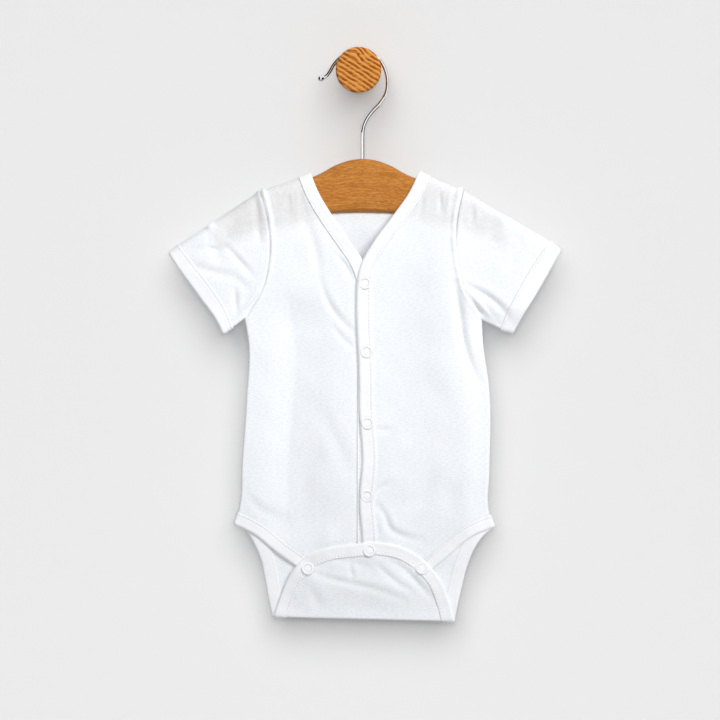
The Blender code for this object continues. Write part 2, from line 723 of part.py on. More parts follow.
def sleeve(side):
    """A tube from the armhole to the cuff seam, its wall open at both ends."""
    line = spline(ARMHOLE[side])
    down = RIDGE[side][2] - RIDGE[side][1]
    far = lengths(line)[-1] - lengths(line)
    gap = GAP + UNDERARM_GAP * rise(far, UNDERARM_REACH, 0.0)
    armhole = pick(offset(line, SIGN[side] * gap, first=down), armhole_rows(line))
    cuff = spline(CUFF_SEAM[side])
    cuff = pick(cuff, armhole_rows(cuff))
    top, under = (spread(np.array([armhole[end], cuff[end]]), middle=SLEEVE_COLUMNS) for end in (0, -1))
    return cloth(f"sleeve_{side}", ring_of(coons(top, under, armhole, cuff)), ring=True)


def cuff_binding(side):
    """A folded band round the end of a sleeve."""
    lines = (spline(CUFF_SEAM[side]), spline(CUFF_EDGE[side]))
    seam, free = (pick(line, armhole_rows(line)) for line in lines)
    across = free - seam
    seam = seam + GAP * across / np.linalg.norm(across, axis=1, keepdims=True)
    free, seam = (ring_of(line[:, None])[:, 0] for line in (free, seam))
    return binding(f"cuff_binding_{side}", free, seam, closed=True)


def neck_binding():
    """One strip: up the under placket, round the neck and down the top placket."""
    hem = {s: leg_lines(s)[2][0] for s in SIGN}
    places = {s: neck_places(s, outer_edge(s, hem[s])) for s in SIGN}
    pair = []
    for line in (0, 1):
        under = front(pick(neck_lines("right")[line], places["right"]), "under")
        over = front(pick(neck_lines("left")[line], places["left"]), "top")
        round_neck = back_neck_lines()
        stops = marks(round_neck[2], TOP_STEPS, BACK_NECK_COLUMNS, TOP_STEPS)
        pair.append(np.vstack([under[::-1], back(pick(round_neck[line], stops))[1:-1], over]))
    return binding("neck_binding", *pair)


def leg_binding_front(side, layer):
    """The band along one front leg edge and on along the hem to the placket's edge."""
    places = leg_places(side)[1]
    pair = [front(pick(line, places), layer, least=SEAM_HALF) for line in leg_lines(side)[:2]]
    return binding(f"leg_binding_front_{side}", *pair, ends=((0.0, -1.0, 0.0), None))


def leg_binding_back():
    """The band down one back leg edge, round the flap and up the other leg edge."""
    places = back_places()
    stops = [places[part]["right"] for part in ("leg", "fold", "flap")] + [places["end"]]
    stops += [places[part]["left"][::-1] for part in ("flap", "fold", "leg")]
    stops = np.unique(np.round(np.concatenate(stops), 6))
    pair = [back(pick(line, stops), least=SEAM_HALF) for line in back_lines()[:2]]
    return binding("leg_binding_back", *pair, ends=((0.0, 1.0, 0.0), (0.0, -1.0, 0.0)))


# ---------------------------------------------------------------- snaps


def place(made, centre, normal):
    """Puts a turned piece at a point in millimetres, its +Z along a direction."""
    turn = Vector((0.0, 0.0, 1.0)).rotation_difference(Vector(normal)).to_matrix().to_4x4()
    made.matrix_world = Matrix.Translation(Vector(centre) * MM) @ turn


def layer_point(x, z, layer):
    """A point on one layer of the front and the layer's outward normal."""
    near = np.array([(x, z), (x + 1.0, z), (x, z + 1.0)])
    here, right, up = front(near, layer)
    normal = np.cross(right - here, up - here)
    return here, normal / np.linalg.norm(normal)


def snaps():
    """Open ring caps on the outer layers and the mating studs between the layers."""
    ring = [
        (CAP_INNER, 0.0),
        (CAP_OUTER, 0.0),
        (CAP_OUTER, CAP_WALL),
        (CAP_OUTER - CAP_BEVEL, CAP_THICK),
        (CAP_INNER + CAP_BEVEL, CAP_THICK),
        (CAP_INNER, CAP_WALL),
    ]
    half, edge = STUD_THICK / 2, STUD_RADIUS - STUD_BEVEL
    disc = [(0.0, -half), (edge, -half), (STUD_RADIUS, 0.0), (edge, half), (0.0, half)]
    for number, (x, z, over, under) in enumerate(SNAPS[1:], 1):
        here, normal = layer_point(x, z, over)
        below, under_normal = layer_point(x, z, under)
        cap = turned_ring(f"snap_cap_{number}", ring, CAP_SEGMENTS, "snap")
        place(cap, here + normal * (BAND / 2 + GAP), normal)
        stud = turned(f"snap_stud_{number}", disc, STUD_SEGMENTS, "snap")
        place(stud, (here + below) / 2, normal + under_normal)


# ---------------------------------------------------------------- hanger and peg


def bar_ring(x, top, bottom, half_thick):
    """A section of the hanger bar at x, with round corners."""
    radius = min(HANGER_ROUND, half_thick * ROUND_OF_THICK, (top - bottom) * ROUND_OF_HEIGHT)
    corners = [(1, 1), (1, -1), (-1, -1), (-1, 1)]
    points = []
    for number, (y_side, z_side) in enumerate(corners):
        y = y_side * (half_thick - radius)
        z = (top if z_side > 0 else bottom) - z_side * radius
        for step in range(3):
            angle = math.radians(90 - 90 * number - 45 * step)
            points.append((x, MID_Y + y + radius * math.cos(angle), z + radius * math.sin(angle)))
    return points


def hanger_bar():
    """The wooden bar, bored on top for the hook."""
    rows = spline(BAR_ROWS[1:], 9.0)
    out, top, bottom = rows[-1]
    middle, half = (top + bottom) / 2, (top - bottom) / 2
    stations = [(o, t, b, HANGER_THICK / 2) for o, t, b in rows]
    for turn in BAR_TIP_TURNS:
        share = math.cos(math.radians(turn))
        past = BAR_TIP * math.sin(math.radians(turn))
        low = middle - past * BAR_TIP_SLOPE
        stations.append((out + past, low + half * share, low - half * share, HANGER_THICK / 2 * share))
    left = [bar_ring(HANGER_X - o, t, b, h) for o, t, b, h in reversed(stations)]
    right = [bar_ring(HANGER_X + o, t, b, h) for o, t, b, h in stations[1:]]
    bar = loft("hanger_bar", np.array(left + right), "wood")
    wide = WIRE / 2 + GAP
    hole = [(0.0, -HOLE_DEEP), (wide, -HOLE_DEEP), (wide, HOLE_CUT_ABOVE), (0.0, HOLE_CUT_ABOVE)]
    bore = turned("bar_bore_cutter", hole, CAP_SEGMENTS, "wood")
    bore.location = Vector((HANGER_X, MID_Y, BAR_ROWS[1][1])) * MM
    bore.hide_render = True
    bore.display_type = "WIRE"
    cut = bar.modifiers.new("Bore", "BOOLEAN")
    cut.operation = "DIFFERENCE"
    cut.object = bore


def hanger_hook():
    """The wire hook, from its foot in the bar over the peg's neck to its bead."""
    foot = [(HANGER_X, BAR_ROWS[1][1] - WIRE_IN_BAR), (HANGER_X, BAR_ROWS[1][1])]
    line = spline(foot + HOOK_ROUTE, 1.0)
    total = lengths(line)[-1]
    bead = np.array(BEAD[1:])
    wire_part = np.linspace(0.0, total - bead[0, 0], HOOK_STATIONS)[:-1]
    where = np.concatenate([wire_part, total - bead[:, 0]])
    shares = np.concatenate([np.ones(len(wire_part)), bead[:, 1]])
    curve = bpy.data.curves.new("hanger_hook", "CURVE")
    curve.dimensions = "3D"
    curve.bevel_depth = WIRE / 2 * MM
    curve.bevel_resolution = 2
    curve.use_fill_caps = True
    wire = curve.splines.new("POLY")
    wire.points.add(len(where) - 1)
    for point, (x, z), share in zip(wire.points, at(line, where), shares):
        point.co = (x * MM, MID_Y * MM, z * MM, 1.0)
        point.radius = share
    return add_object("hanger_hook", curve, "chrome")


def wall_peg():
    """The peg: a plain neck from the wall and a round knob on it, turned from one piece."""
    back, face = -KNOB_BACK_Y, -KNOB_FRONT_Y
    profile = [
        (0.0, 0.0),
        (NECK_RADIUS, 0.0),
        (NECK_RADIUS, back),
        (KNOB_RADIUS - KNOB_BEVEL, back),
        (KNOB_RADIUS, back + KNOB_BEVEL),
    ]
    for turn in np.radians([0.0, 30.0, 60.0, 90.0]):
        inset = KNOB_ROUND * (1.0 - math.cos(turn))
        profile.append((KNOB_RADIUS - inset, face - KNOB_ROUND * (1.0 - math.sin(turn))))
    profile += [(KNOB_RADIUS / 2, face + KNOB_CROWN * 0.75), (0.0, face + KNOB_CROWN)]
    peg = turned("wall_peg", profile, PEG_SEGMENTS, "wood")
    peg.rotation_euler = (math.pi / 2, 0.0, 0.0)


def main():
    for old in list(bpy.data.objects):
        bpy.data.objects.remove(old)
    front_panel("right", "under")
    front_panel("left", "top")
    back_panel()
    for side in SIGN:
        sleeve(side)
        cuff_binding(side)
    neck_binding()
    leg_binding_front("right", "under")
    leg_binding_front("left", "top")
    leg_binding_back()
    snaps()
    hanger_bar()
    hanger_hook()
    wall_peg()


main()
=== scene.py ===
"""Looks of a baby bodysuit that hangs on a wooden hanger from a round wall peg.

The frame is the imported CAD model's: +Z up, the garment's front towards -Y, the wearer's right side at -X,
and the origin on the wall at the peg's axis. Sizes are in millimetres where nothing else is said, and meshes
are made in metres. The cloth's outlines and form repeat the CAD's, at a finer step and with finer folds.
Each cloth piece is a thin shell.
"""

import math

import bmesh
import bpy
import numpy as np
from mathutils import Matrix, Vector

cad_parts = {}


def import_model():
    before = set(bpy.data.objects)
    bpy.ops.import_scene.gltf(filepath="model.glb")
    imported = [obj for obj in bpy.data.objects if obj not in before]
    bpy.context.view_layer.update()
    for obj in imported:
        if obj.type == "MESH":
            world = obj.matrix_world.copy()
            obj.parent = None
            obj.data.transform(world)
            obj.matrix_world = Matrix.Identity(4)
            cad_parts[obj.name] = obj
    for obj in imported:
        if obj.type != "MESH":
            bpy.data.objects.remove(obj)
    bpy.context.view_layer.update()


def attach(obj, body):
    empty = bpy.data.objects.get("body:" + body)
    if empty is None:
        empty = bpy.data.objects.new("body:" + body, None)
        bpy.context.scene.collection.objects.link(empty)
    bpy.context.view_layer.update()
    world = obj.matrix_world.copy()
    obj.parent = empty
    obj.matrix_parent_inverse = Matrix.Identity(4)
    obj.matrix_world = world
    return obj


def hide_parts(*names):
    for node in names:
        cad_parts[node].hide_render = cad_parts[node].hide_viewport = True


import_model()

MM = 0.001  # metres in a millimetre
UV_MM = 0.01  # units of the cloth's UV map in a millimetre
TURN = 2 * math.pi
FORWARD = (0.0, -1.0, 0.0)
BACKWARD = (0.0, 1.0, 0.0)

# Cloth
MID_Y = -28.0  # middle of the hanger and of the garment
JERSEY = 0.8  # thickness of the shell that stands for the jersey
FOLDED = 0.6  # and of a binding's folded strip
TUCK = 1.3  # how far a panel's edge reaches into its binding
BAND_WIDTH = 10.5
PLACKET_WIDTH = 12.5
PLACKET_EASE = (-150.0, -190.0)  # heights between which the neck binding widens into the placket
LAYER = 2.4  # from one snapped layer to the next
OVER_X = (60.0, 18.0)  # across the left front: where it starts to rise over the right one, and its full lift
OVER_Z = (-100.0, -155.0)
FLAP_SINK = 0.85  # share of the flap's lift that is gone by its foot
FLAP_SINK_Z = (-439.0, -466.0)
SEAT_GAP = 1.95  # the lower back hangs forward, this close behind the front and its leg bands
SEAT_Z = (-368.0, -400.0)
NAPE_FORWARD = 8.4  # how far the back's cloth comes forward below the hanger, inside the neck
NAPE_X = (62.0, 30.0)
NAPE_Z = (-115.0, -124.5, -178.0)
BAR_CLEAR = 0.9  # from the bar to the cloth behind it
BAR_CLEAR_X = (64.0, 56.0)  # out from its middle: where the bar starts to push that cloth, and does so fully
BAR_PUSH = 9.0  # how far it may push it
FLAP_SIDES = {"right": (-67.0, -50.0), "left": (80.0, 62.0)}  # where it comes close to the back
FLAP_SIDE_SHARE = 0.35  # share of its lift that is left there
FLAP_STEP_X = (-66.0, -4.0)  # where the flap starts to rise over the placket, and its full lift

# How far the cloth stands from the middle
SHOULDER_ROUND = 7.6
ROOM = 6.9  # from the middle to the cloth before the hanger, at least
ROOM_BELOW = (9.0, 2.0)  # below the bar, past its tips and over its top: where that starts, and holds fully
ROOM_PAST = (14.0, 7.0)
ROOM_OVER = (-4.0, 5.0)
SIDE_ROUND = 2.7
BODY_DEPTH = 9.2
SWELL_OVER = 28.0
ROLL_DEPTH = 12.0  # right side of the body: it stands out at once and falls off inwards, over a distance
ROLL_FALL = 9.6
ROLL_OVER = 40.0
ROLL_ROUND = 1.9
ROLL_X = (14.0, -60.0)  # where it starts to show, and its full share
ROLL_TOP_Z = (-174.0, -224.0)
ROLL_FOOT_Z = (-425.0, -385.0)
BLEND_POWER = 8.0
FLAT_EDGE = 1e-3

# The foot of the back, where it folds up into the flap
FOLD_Z = -471.3
FOLD_SLOPE = -0.025
FOLD_REACH = 14.0
FOLD_LOOK = 7.0
FOLD_FLAT = 0.38  # height of its half round as a share of the radius
FOLD_EASE = 8.0  # the sheets' own folds fade out over this distance from it

# Outlines in the front view, each row x, z, from the top down or from the side inwards
NECK_POINT = {"right": (-41.0, -89.0), "left": (52.0, -87.5)}
ARMHOLE = {
    "right": [(-85, -104.5), (-78, -134), (-77, -160), (-82.5, -187), (-98, -213.5)],
    "left": [(90.5, -103.5), (84.8, -135), (85.5, -163), (92.5, -192), (106, -214.5)],
}
SIDE = {
    "right": [
        (-98, -213.5), (-95, -230), (-96.5, -285), (-100, -335), (-103, -378),
        (-107, -390),
    ],
    "left": [
        (106, -214.5), (107, -233), (112.5, -275), (112.5, -345), (112, -378),
        (116.5, -392.5),
    ],
}
CUFF_SEAM = {
    "right": [(-154.5, -150.5), (-140, -169), (-125, -188.5), (-113.5, -207), (-108, -221)],
    "left": [(164.5, -147), (150, -168), (137, -190), (128, -208), (122, -223)],
}
CUFF_EDGE = {
    "right": [(-163, -158), (-150.5, -176), (-133.5, -199), (-122, -215), (-116.5, -226.5)],
    "left": [(173.5, -155), (162.5, -175), (150, -196.5), (140.5, -211.5), (133, -225.5)],
}
HEM_SEAM_Z = -431.7  # where both plackets end on the hem binding
V_EDGE = {
    "right": [
        (-41, -89), (-35, -104), (-24, -123), (-7.5, -147), (2.5, -162), (8.5, -178),
        (9.5, -194), (9.5, -310), (9.5, HEM_SEAM_Z),
    ],
    "left": [
        (52, -87.5), (43.5, -105.5), (30.5, -124), (12.5, -148.5), (2.5, -167), (-1, -183),
        (-1.5, -199), (0.5, -257), (1, -295), (3.5, -335), (1, -370), (3.5, -404),
        (3.5, HEM_SEAM_Z),
    ],
}
BACK_NECK = [
    (-41, -89), (-35.5, -98), (-18, -106), (5.5, -109), (29, -105.5), (46.5, -97),
    (52, -87.5),
]
FRONT_LEG = {
    "right": [
        (-107, -390), (-90, -398.5), (-70, -414.5), (-53, -426.5), (-40, -435.5), (-24.5, -441),
        (-8, -442.5), (9.5, -442.5),
    ],
    "left": [
        (116.5, -392.5), (96, -401.5), (77.5, -417), (64.5, -428), (53, -435.5), (37.5, -441),
        (22, -442.5), (3.5, -442.5),
    ],
}
BACK_LEG = {
    "right": [
        (-107, -390), (-96.5, -396), (-88.5, -408.5), (-83, -422.5), (-79.5, -440),
        (-76.5, -457),
    ],
    "left": [
        (116.5, -392.5), (106, -401), (98.5, -412.5), (92.5, -428), (88.5, -444),
        (85, -459),
    ],
}
FLAP_EDGE = [
    (-66.5, -451), (-57, -431), (-46.5, -419.5), (-27, -410.5), (-5, -407.5), (20, -406),
    (38, -410), (56, -421.5), (69, -436), (78, -457),
]
FLAP_CORNER_X = (-46.0, 56.0)  # where the flap's end turns into its sides

# Depth of the garment, as a share of the full one, at each height
DEPTH_ROWS = [("z", "share"), (-260.0, 1.0), (-350.0, 0.96), (-392.0, 0.76), (-432.0, 0.44), (-480.0, 0.38)]
SLEEVE_FLAT_X = (128.0, 168.0)
SLEEVE_FLAT_SHARE = 0.72

# Folds, which are ridges where the height is above 0 and troughs where it is below. Each row has the run in
# the front view, the height, the half width at both ends, and the height of a roll if it has one, along the
# run's left side, or along its right side if below 0.
FRONT_FOLDS = [
    # right front: wide swells, then the creases from the neck and the shoulder down to the placket
    ([(-30, -296), (-18, -322), (-8, -352)], -1.2, (9, 12)),
    ([(-24, -240), (-22, -300), (-14, -350)], 0.7, (15, 18)),
    ([(-33, -180), (-24, -203), (-4, -225)], -1.4, (4.2, 3.6), 0.2),
    ([(-22, -220), (-13, -231), (-4, -239)], -0.9, (3, 3.2), 0.2),
    ([(-18, -160), (-9, -172), (-6, -182)], -1.6, (3, 3.6), 0.3),
    ([(-46, -128), (-38, -152), (-34, -178)], -1, (6, 6), 0.2),
    ([(-98, -362), (-86, -376), (-66, -386)], -0.7, (4.5, 7), 0.3),
    ([(-34, -330), (-46, -352), (-44, -380)], -1.1, (10, 13)),
    ([(-20, -392), (-34, -412)], 1.22, (7, 9)),
    ([(-60, -108), (-61, -124)], -1.12, (2.4, 3.5), 0.3),
    ([(-50, -104), (-47, -128)], -0.96, (2.4, 4)),
    # left front
    ([(83, -184), (86, -206), (89, -230), (95, -252), (102, -267)], -5, (4.9, 6), 0.8),
    ([(96, -200), (99, -230)], 1.2, (4, 4)),
    ([(22, -150), (24, -250), (22, -390)], -3.4, (38, 38)),
    ([(66, -236), (92, -300)], 1, (14, 16)),
    ([(72, -112), (74, -170), (77, -240)], 3.2, (33, 32)),
    ([(15, -311.5), (20, -309), (29, -309.5)], -1.2, (2.2, 3.6), 0.4),
    ([(14.5, -367), (18, -361), (27, -354)], -1.7, (2.6, 3.6), 0.4),
    ([(16, -346), (28, -330), (44, -316)], 1.3, (9, 11)),
    ([(14, -372), (22, -381), (27, -394), (40, -401), (54, -404)], -1.9, (2.8, 4.4), 0.7),
    ([(16, -386), (17.5, -403)], -1.44, (1.6, 2.2)),
    ([(62, -344), (52, -368), (36, -376)], -1.2, (9, 10), 0.3),
    ([(84, -352), (74, -384)], -0.94, (9, 10)),
    ([(70, -104), (70.5, -122)], -1.44, (2.2, 3), 0.3),
    ([(78, -106), (76, -126)], 1.12, (2.4, 3.2)),
    ([(56, -106), (52, -128)], -0.96, (2.4, 4)),
    # along the flap's edge, which presses a little into the fronts
    (
        [
            (-52, -424), (-46, -418.6), (-27, -409.6), (-5, -406.6), (20, -405.1),
            (38, -409.1), (57, -421.5),
        ],
        -1, (2, 2),
    ),
    # right sleeve
    ([(-114, -151), (-104, -162), (-92, -175)], -1.15, (3.2, 3.8), 0.3),
    ([(-109, -176), (-100, -184), (-92, -190)], -0.75, (5, 6), 0.2),
    ([(-143, -168), (-127, -173), (-106, -178)], -1.1, (4.6, 6), 0.3),
    ([(-146, -155), (-126, -153), (-108, -154)], -0.65, (4, 5), 0.2),
    ([(-106.5, -185), (-106, -196), (-105, -208)], -1.35, (4, 3.4), 0.3),
    ([(-86.5, -192), (-97, -211)], -1.76, (2.2, 2.2), 0.3),
    ([(-102.8, -208.6), (-94, -200), (-86.4, -189.6)], 1.44, (2.4, 2.4)),
    ([(-88.5, -107), (-87.5, -124), (-85, -147)], -2.2, (3, 3), 0.3),
    ([(-112, -122), (-106, -146)], -1.44, (5, 7)),
    ([(-130, -136), (-120, -162)], -1.44, (5, 7)),
    # left sleeve
    ([(98.5, -113), (97, -131)], -2.24, (2.4, 3.2), 0.5),
    ([(93, -185), (105, -191), (118, -200), (131, -215)], -2.3, (3.6, 5.2), 0.4),
    ([(97, -198), (104, -208), (111.5, -218)], -2.2, (2, 2.4)),
    ([(92, -187), (102, -198), (117, -217)], 1.6, (2.6, 3)),
    ([(121, -118), (116, -142)], -1.28, (5, 7), 0.3),
    ([(140, -138), (130, -170)], -1.08, (7, 8)),
]
FLAP_FOLDS = [
    ([(-42, -431), (-24, -437), (-7, -441), (18, -447), (40, -456)], -1.25, (3.2, 4.6), 0.4),
    ([(26, -421), (38, -428), (51, -441), (64, -455)], -1.2, (3.2, 4.6), 0.4),
    ([(16, -425), (30, -438), (46, -448)], -1.2, (3, 4), 0.3),
    ([(-22, -421.5), (0, -424), (11, -428)], -0.8, (4, 4.5)),
    ([(-42, -444), (-33, -462)], -0.75, (5, 6.5), 0.2),
    ([(-7.5, -425), (-5, -438)], -0.9, (3, 3.4), 0.3),
]
BACK_FOLDS = [
    ([(-48, -134), (-60, -196), (-66, -256)], -1.3, (6, 10), 0.5),
    ([(34, -196), (50, -262), (70, -318)], -1.2, (6, 10), 0.5),
    ([(-6, -142), (-2, -206), (-10, -262)], 0.9, (15, 18)),
    ([(-84, -342), (-62, -362), (-38, -378)], -1.1, (5, 8), 0.5),
    ([(92, -338), (74, -364), (52, -385)], -1.2, (5, 8), -0.5),
    ([(-20, -402), (14, -410), (40, -404)], -0.8, (5, 6), 0.4),
    ([(-122, -168), (-98, -190)], -1.1, (4, 5), 0.5),
    ([(142, -172), (104, -194)], -1.2, (4, 6), 0.5),
    ([(-84, -190), (-70, -232)], -1, (4, 6), -0.4),
    ([(90, -184), (82, -236)], -1, (4, 6), 0.4),
    ([(-30, -290), (8, -322)], -0.7, (4, 7), 0.3),
]
FOLDS = {"front": FRONT_FOLDS, "flap": FLAP_FOLDS, "back": BACK_FOLDS}
FOLD_END_SHARE = 0.25  # of a fold's height that is left at both ends of its run
FOLD_ROLL_AT = 1.25  # half widths from a run to the middle of its roll
FOLD_FADE = 11.0  # all folds fade out over this distance from a shoulder or side seam

# Small unevenness all over the cloth: waves in directions in degrees
RIPPLES = [
    ("direction", "height", "length", "phase"),
    (14, 0.14, 61, 0.4), (101, 0.11, 43, 2.1), (58, 0.08, 34, 4), (156, 0.06, 27, 1.2),
    (33, 0.04, 19, 5.2), (118, 0.03, 15, 3.3),
]
RIPPLE_SHIFT = {"front": 0.0, "back": 1.7, "flap": 3.1}  # of their phases

# A binding's section: where a point lies across it, its distance from there and its height over the middle
OUTER_FACE = [
    ("edge", "past", "up"),
    ("seam", 0, 0.62), ("seam", -0.25, 0.88), ("stitch", 0.9, 0.96), ("stitch", 0.45, 0.76),
    ("stitch", 0, 0.52), ("stitch", -0.45, 0.60), ("stitch", -1, 0.78), ("stitch", -2, 0.80),
    ("stitch", -3.4, 0.78), ("free", 3.6, 0.86), ("free", 2.3, 1.02), ("free", 1.4, 1),
    ("free", 0.8, 0.80), ("free", 0.35, 0.46), ("free", 0.08, 0.2), ("free", 0, 0),
]
INNER_FACE = [
    ("edge", "past", "up"),
    ("free", 0.12, -0.30), ("free", 0.45, -0.50), ("free", 1.1, -0.62), ("free", 3, -0.65),
    ("stitch", -3, -0.62), ("stitch", -1, -0.58), ("stitch", 0, -0.42), ("seam", -0.5, -0.62),
    ("seam", 0, -0.55),
]
STITCH_IN = 1.6  # from a binding's seam edge to its stitches
PLACKET_STITCH_IN = 2.8
STITCH_PITCH = 2.7
PLACKET_PITCH = 3.06
BAND_UNEVEN = [(0.10, 11.0, 0.0), (0.08, 29.0, 2.0)]  # waves of its thickness, as shares of it

# Painted shade where the hanger shows through the cloth
SOFT_EDGE = 5.0  # how soft the shade's edges are
WOOD_TOP = (6.0, 3.0)  # soft edges above the bar's top: where the shade starts, and is full
WOOD_BOTTOM = (2.4, -1.0)  # and below its bottom
WOOD_PAST = (8.0, -12.0)  # millimetres past its tip
WOOD_WAVER = [(1.2, 8.5 * TURN, 0.0), (0.6, 3.1 * TURN, 1.0)]  # waves of the shade's height
WOOD_FROM_SEAM = (2.0, 9.0)  # from the armhole: where it starts to show in a front, and shows fully
# painted shade: its share for each side, and the colour that the cloth's colour is multiplied down to under
# it
WOOD_SHADE_SHARE = {"right": 1.05, "left": 0.85}
WOOD_SHADE_COLOUR = (0.86, 0.835, 0.808)  # what is left of the cloth's colour there

# Hanger
HANGER_X = 3.5
HANGER_THICK = 12.0
HANGER_ROUND = 5.0
ROUND_OF_THICK = 0.83
ROUND_OF_HEIGHT = 0.42
HOLE_DEEP = 10.3
HOLE_CUT_ABOVE = 8.0
HOLE_GAP = 0.3
BAR_ROWS = [
    ("out", "top", "bottom"),
    (0, -76, -122), (12, -77.6, -122.2), (24, -82, -122.6), (36, -88.6, -123.6),
    (45, -92.5, -125), (60, -97.2, -128), (75, -102, -131), (88, -107.2, -134.5),
    (100, -114, -138.5), (112, -122.2, -143.5), (124, -130.5, -149),
]
BAR_END = BAR_ROWS[-1][0]
BAR_TOP = BAR_ROWS[1][1]
BAR_TIP = 6.0
BAR_TIP_SLOPE = 0.8
BAR_TIP_TURNS = (8.0, 84.0)  # degrees of its round at the first and last step

# Hook: the wire's centre line, x and z, from the bar up and over the peg to the bead at its free end
WIRE = 3.1
WIRE_IN_BAR = 10.0
HOOK_ROUTE = [
    (3.5, -66), (3.5, -57), (4, -50), (6.5, -43), (11.5, -35.8), (18, -29), (23.4, -20.5),
    (25, -10.5), (23, 0.5), (17.8, 9.4), (9.8, 15), (0, 17), (-9.8, 15), (-17.4, 9.4),
    (-21.6, 4.4), (-24.5, -0.8), (-27.3, -4.7), (-31, -6.7), (-34.6, -7.7),
]
BEAD = [
    ("back", "share"),
    (5.2, 1), (4.6, 1.1), (3.9, 1.3), (3.2, 1.5), (2.6, 1.6), (1.9, 1.62), (1.2, 1.55), (0.7, 1.38),
    (0.4, 1.2), (0.12, 0.9), (0, 0.6),
]

# Peg
NECK_RADIUS = 15.15
KNOB_RADIUS = 19.6
KNOB_BACK_Y = -33.0
KNOB_FRONT_Y = -53.5
KNOB_BEVEL = 1.0
KNOB_ROUND = 2.5
KNOB_CROWN = 0.5
PEG_FOOT_BEVEL = 0.4
PEG_FILLET = 0.8  # where the neck meets the knob

# Snaps: centre x and z, the layer that carries the ring, and how far its notches are turned in degrees
SNAPS = [
    ("x", "z", "layer", "turn"),
    (5.4, -182.8, "top", 20), (6.8, -241.8, "top", 35), (7.6, -303.2, "top", 5),
    (7.2, -365.8, "top", 50), (9.4, -412.8, "flap", 28), (-43.5, -428.5, "flap", 12),
    (54.5, -428.2, "flap", 41),
]
SNAP_TILT = {4: 0.26, 5: 0.38, 6: 0.32}  # how far the flap's cloth leans back around a snap, by its row
SNAP_TILT_SPREAD = 8.0
RING_INNER = 3.35
RING_SECTION = [
    ("radius", "up"),
    (3.1, 0), (5.75, 0), (5.75, 0.12), (5.42, 0.18), (5.3, 0.38), (5, 0.56), (4.6, 0.64), (4.2, 0.63),
    (3.8, 0.56), (3.5, 0.42), (3.38, 0.22), (3.1, 0.16),
]
# the rim rows carry painted shade: a grey at the ring's outer foot and inner edge for the thin line of shade
# where it meets the cloth
SHADED_RIM_ROWS = (1, 2, 10, 11)  # steps of the section, from its first row on, that are the dark rim
RING_NOTCHES = 5
NOTCH_SHARP = 14
NOTCH_DEEP = 0.42
NOTCH_OUT = 4.3  # the notches cut into the section within this radius
NOTCH_UP = 0.25  # and above this height
RING_LIFT = 1.05  # from the middle of a binding to the ring's foot


# ---------------- curves

ROUNDED = 0.15  # share of the S curve in an even slope
NOWHERE = 1e9  # farther than any distance
TINY = 1e-9  # least length that a direction is divided by
OFFSET_EASE = 18.0  # how far from its ends an offset line turns to the ends' own directions


def smooth(t):
    """0 below 0, 1 above 1, and an S curve between."""
    t = np.clip(t, 0.0, 1.0)
    return t * t * (3.0 - 2.0 * t)


def rise(values, start, full):
    """0 where the values are at the start or before it, 1 at full or past it, and an S curve between."""
    return smooth((values - start) / (full - start))


def straight(values, start, full):
    """The same with an even slope, only a little rounded at both ends."""
    t = (values - start) / (full - start)
    return (1.0 - ROUNDED) * np.clip(t, 0.0, 1.0) + ROUNDED * smooth(t)


def hump(values, start, top, end):
    """0 outside start and end, and 1 at the top between them."""
    return rise(values, start, top) * rise(values, end, top)


def waves(along, rows):
    """A sum of waves along a distance, each with a height, a length and a phase."""
    return sum(height * np.sin(along * TURN / length + phase) for height, length, phase in rows)


def circle(count):
    """Angles all round, evenly spaced."""
    return np.arange(count) * TURN / count


def unit(vectors):
    """The vectors with their lengths made 1."""
    return vectors / np.maximum(np.linalg.norm(vectors, axis=-1, keepdims=True), TINY)


def spline(points, step=1.0):
    """A smooth curve through the points, as a close polyline. Uneven distances between them do no harm."""
    p = np.asarray(points, float)
    chord = np.linalg.norm(np.diff(p, axis=0), axis=1)[:, None]
    slope = np.diff(p, axis=0) / chord
    if len(p) == 2:
        tangent = np.vstack([slope, slope])
    else:
        inner = (slope[:-1] * chord[1:] + slope[1:] * chord[:-1]) / (chord[:-1] + chord[1:])
        tangent = np.vstack([1.5 * slope[:1] - 0.5 * inner[:1], inner, 1.5 * slope[-1:] - 0.5 * inner[-1:]])
    out = []
    for a, b, start, end, length in zip(p[:-1], p[1:], tangent[:-1], tangent[1:], chord):
        t = np.linspace(0.0, 1.0, max(2, math.ceil(float(length[0]) / step)), endpoint=False)[:, None]
        bow = length * (t * (1 - t) ** 2 * start - t * t * (1 - t) * end)
        out.append(a + (b - a) * smooth(t) + bow)
    return np.vstack(out + [p[-1:]])


def lengths(curve):
    """Distance along a polyline to each of its points."""
    return np.concatenate([[0.0], np.cumsum(np.linalg.norm(np.diff(curve, axis=0), axis=1))])


def pick(curve, indexes):
    """Points of a curve at fractional indexes."""
    return sampled(curve, indexes, np.arange(len(curve)))


def index_at(curve, where):
    """Fractional indexes of a curve at distances along it."""
    return np.interp(where, lengths(curve), np.arange(len(curve)))


def stops(length, count, start=(0.0,), end=(0.0,)):
    """Distances along a run: close steps from its ends and a number of even ones between them."""
    even = np.linspace(start[-1], length - end[-1], count + 1)
    return np.concatenate([start[:-1], even, length - np.array(end[:-1])[::-1]])


def steps(length, pace, start=(0.0,), end=(0.0,)):
    """The same with even steps of about one pace."""
    return stops(length, max(1, round((length - start[-1] - end[-1]) / pace)), start, end)


def sampled(values, where, along):
    """Rows of values that belong to distances along a line, at other distances along it."""
    return np.column_stack([np.interp(where, along, column) for column in values.T])


def places(curve, pace, start=(0.0,), end=(0.0,)):
    """Fractional indexes of a curve at close steps from its ends and paces between them."""
    return index_at(curve, steps(lengths(curve)[-1], pace, start, end))


def between(curve, begin, finish, count, start=(0.0,)):
    """The same on part of a curve, from one fractional index to another, in either direction."""
    first, last = np.interp([begin, finish], np.arange(len(curve)), lengths(curve))
    return index_at(curve, first + math.copysign(1.0, last - first) * stops(abs(last - first), count, start))


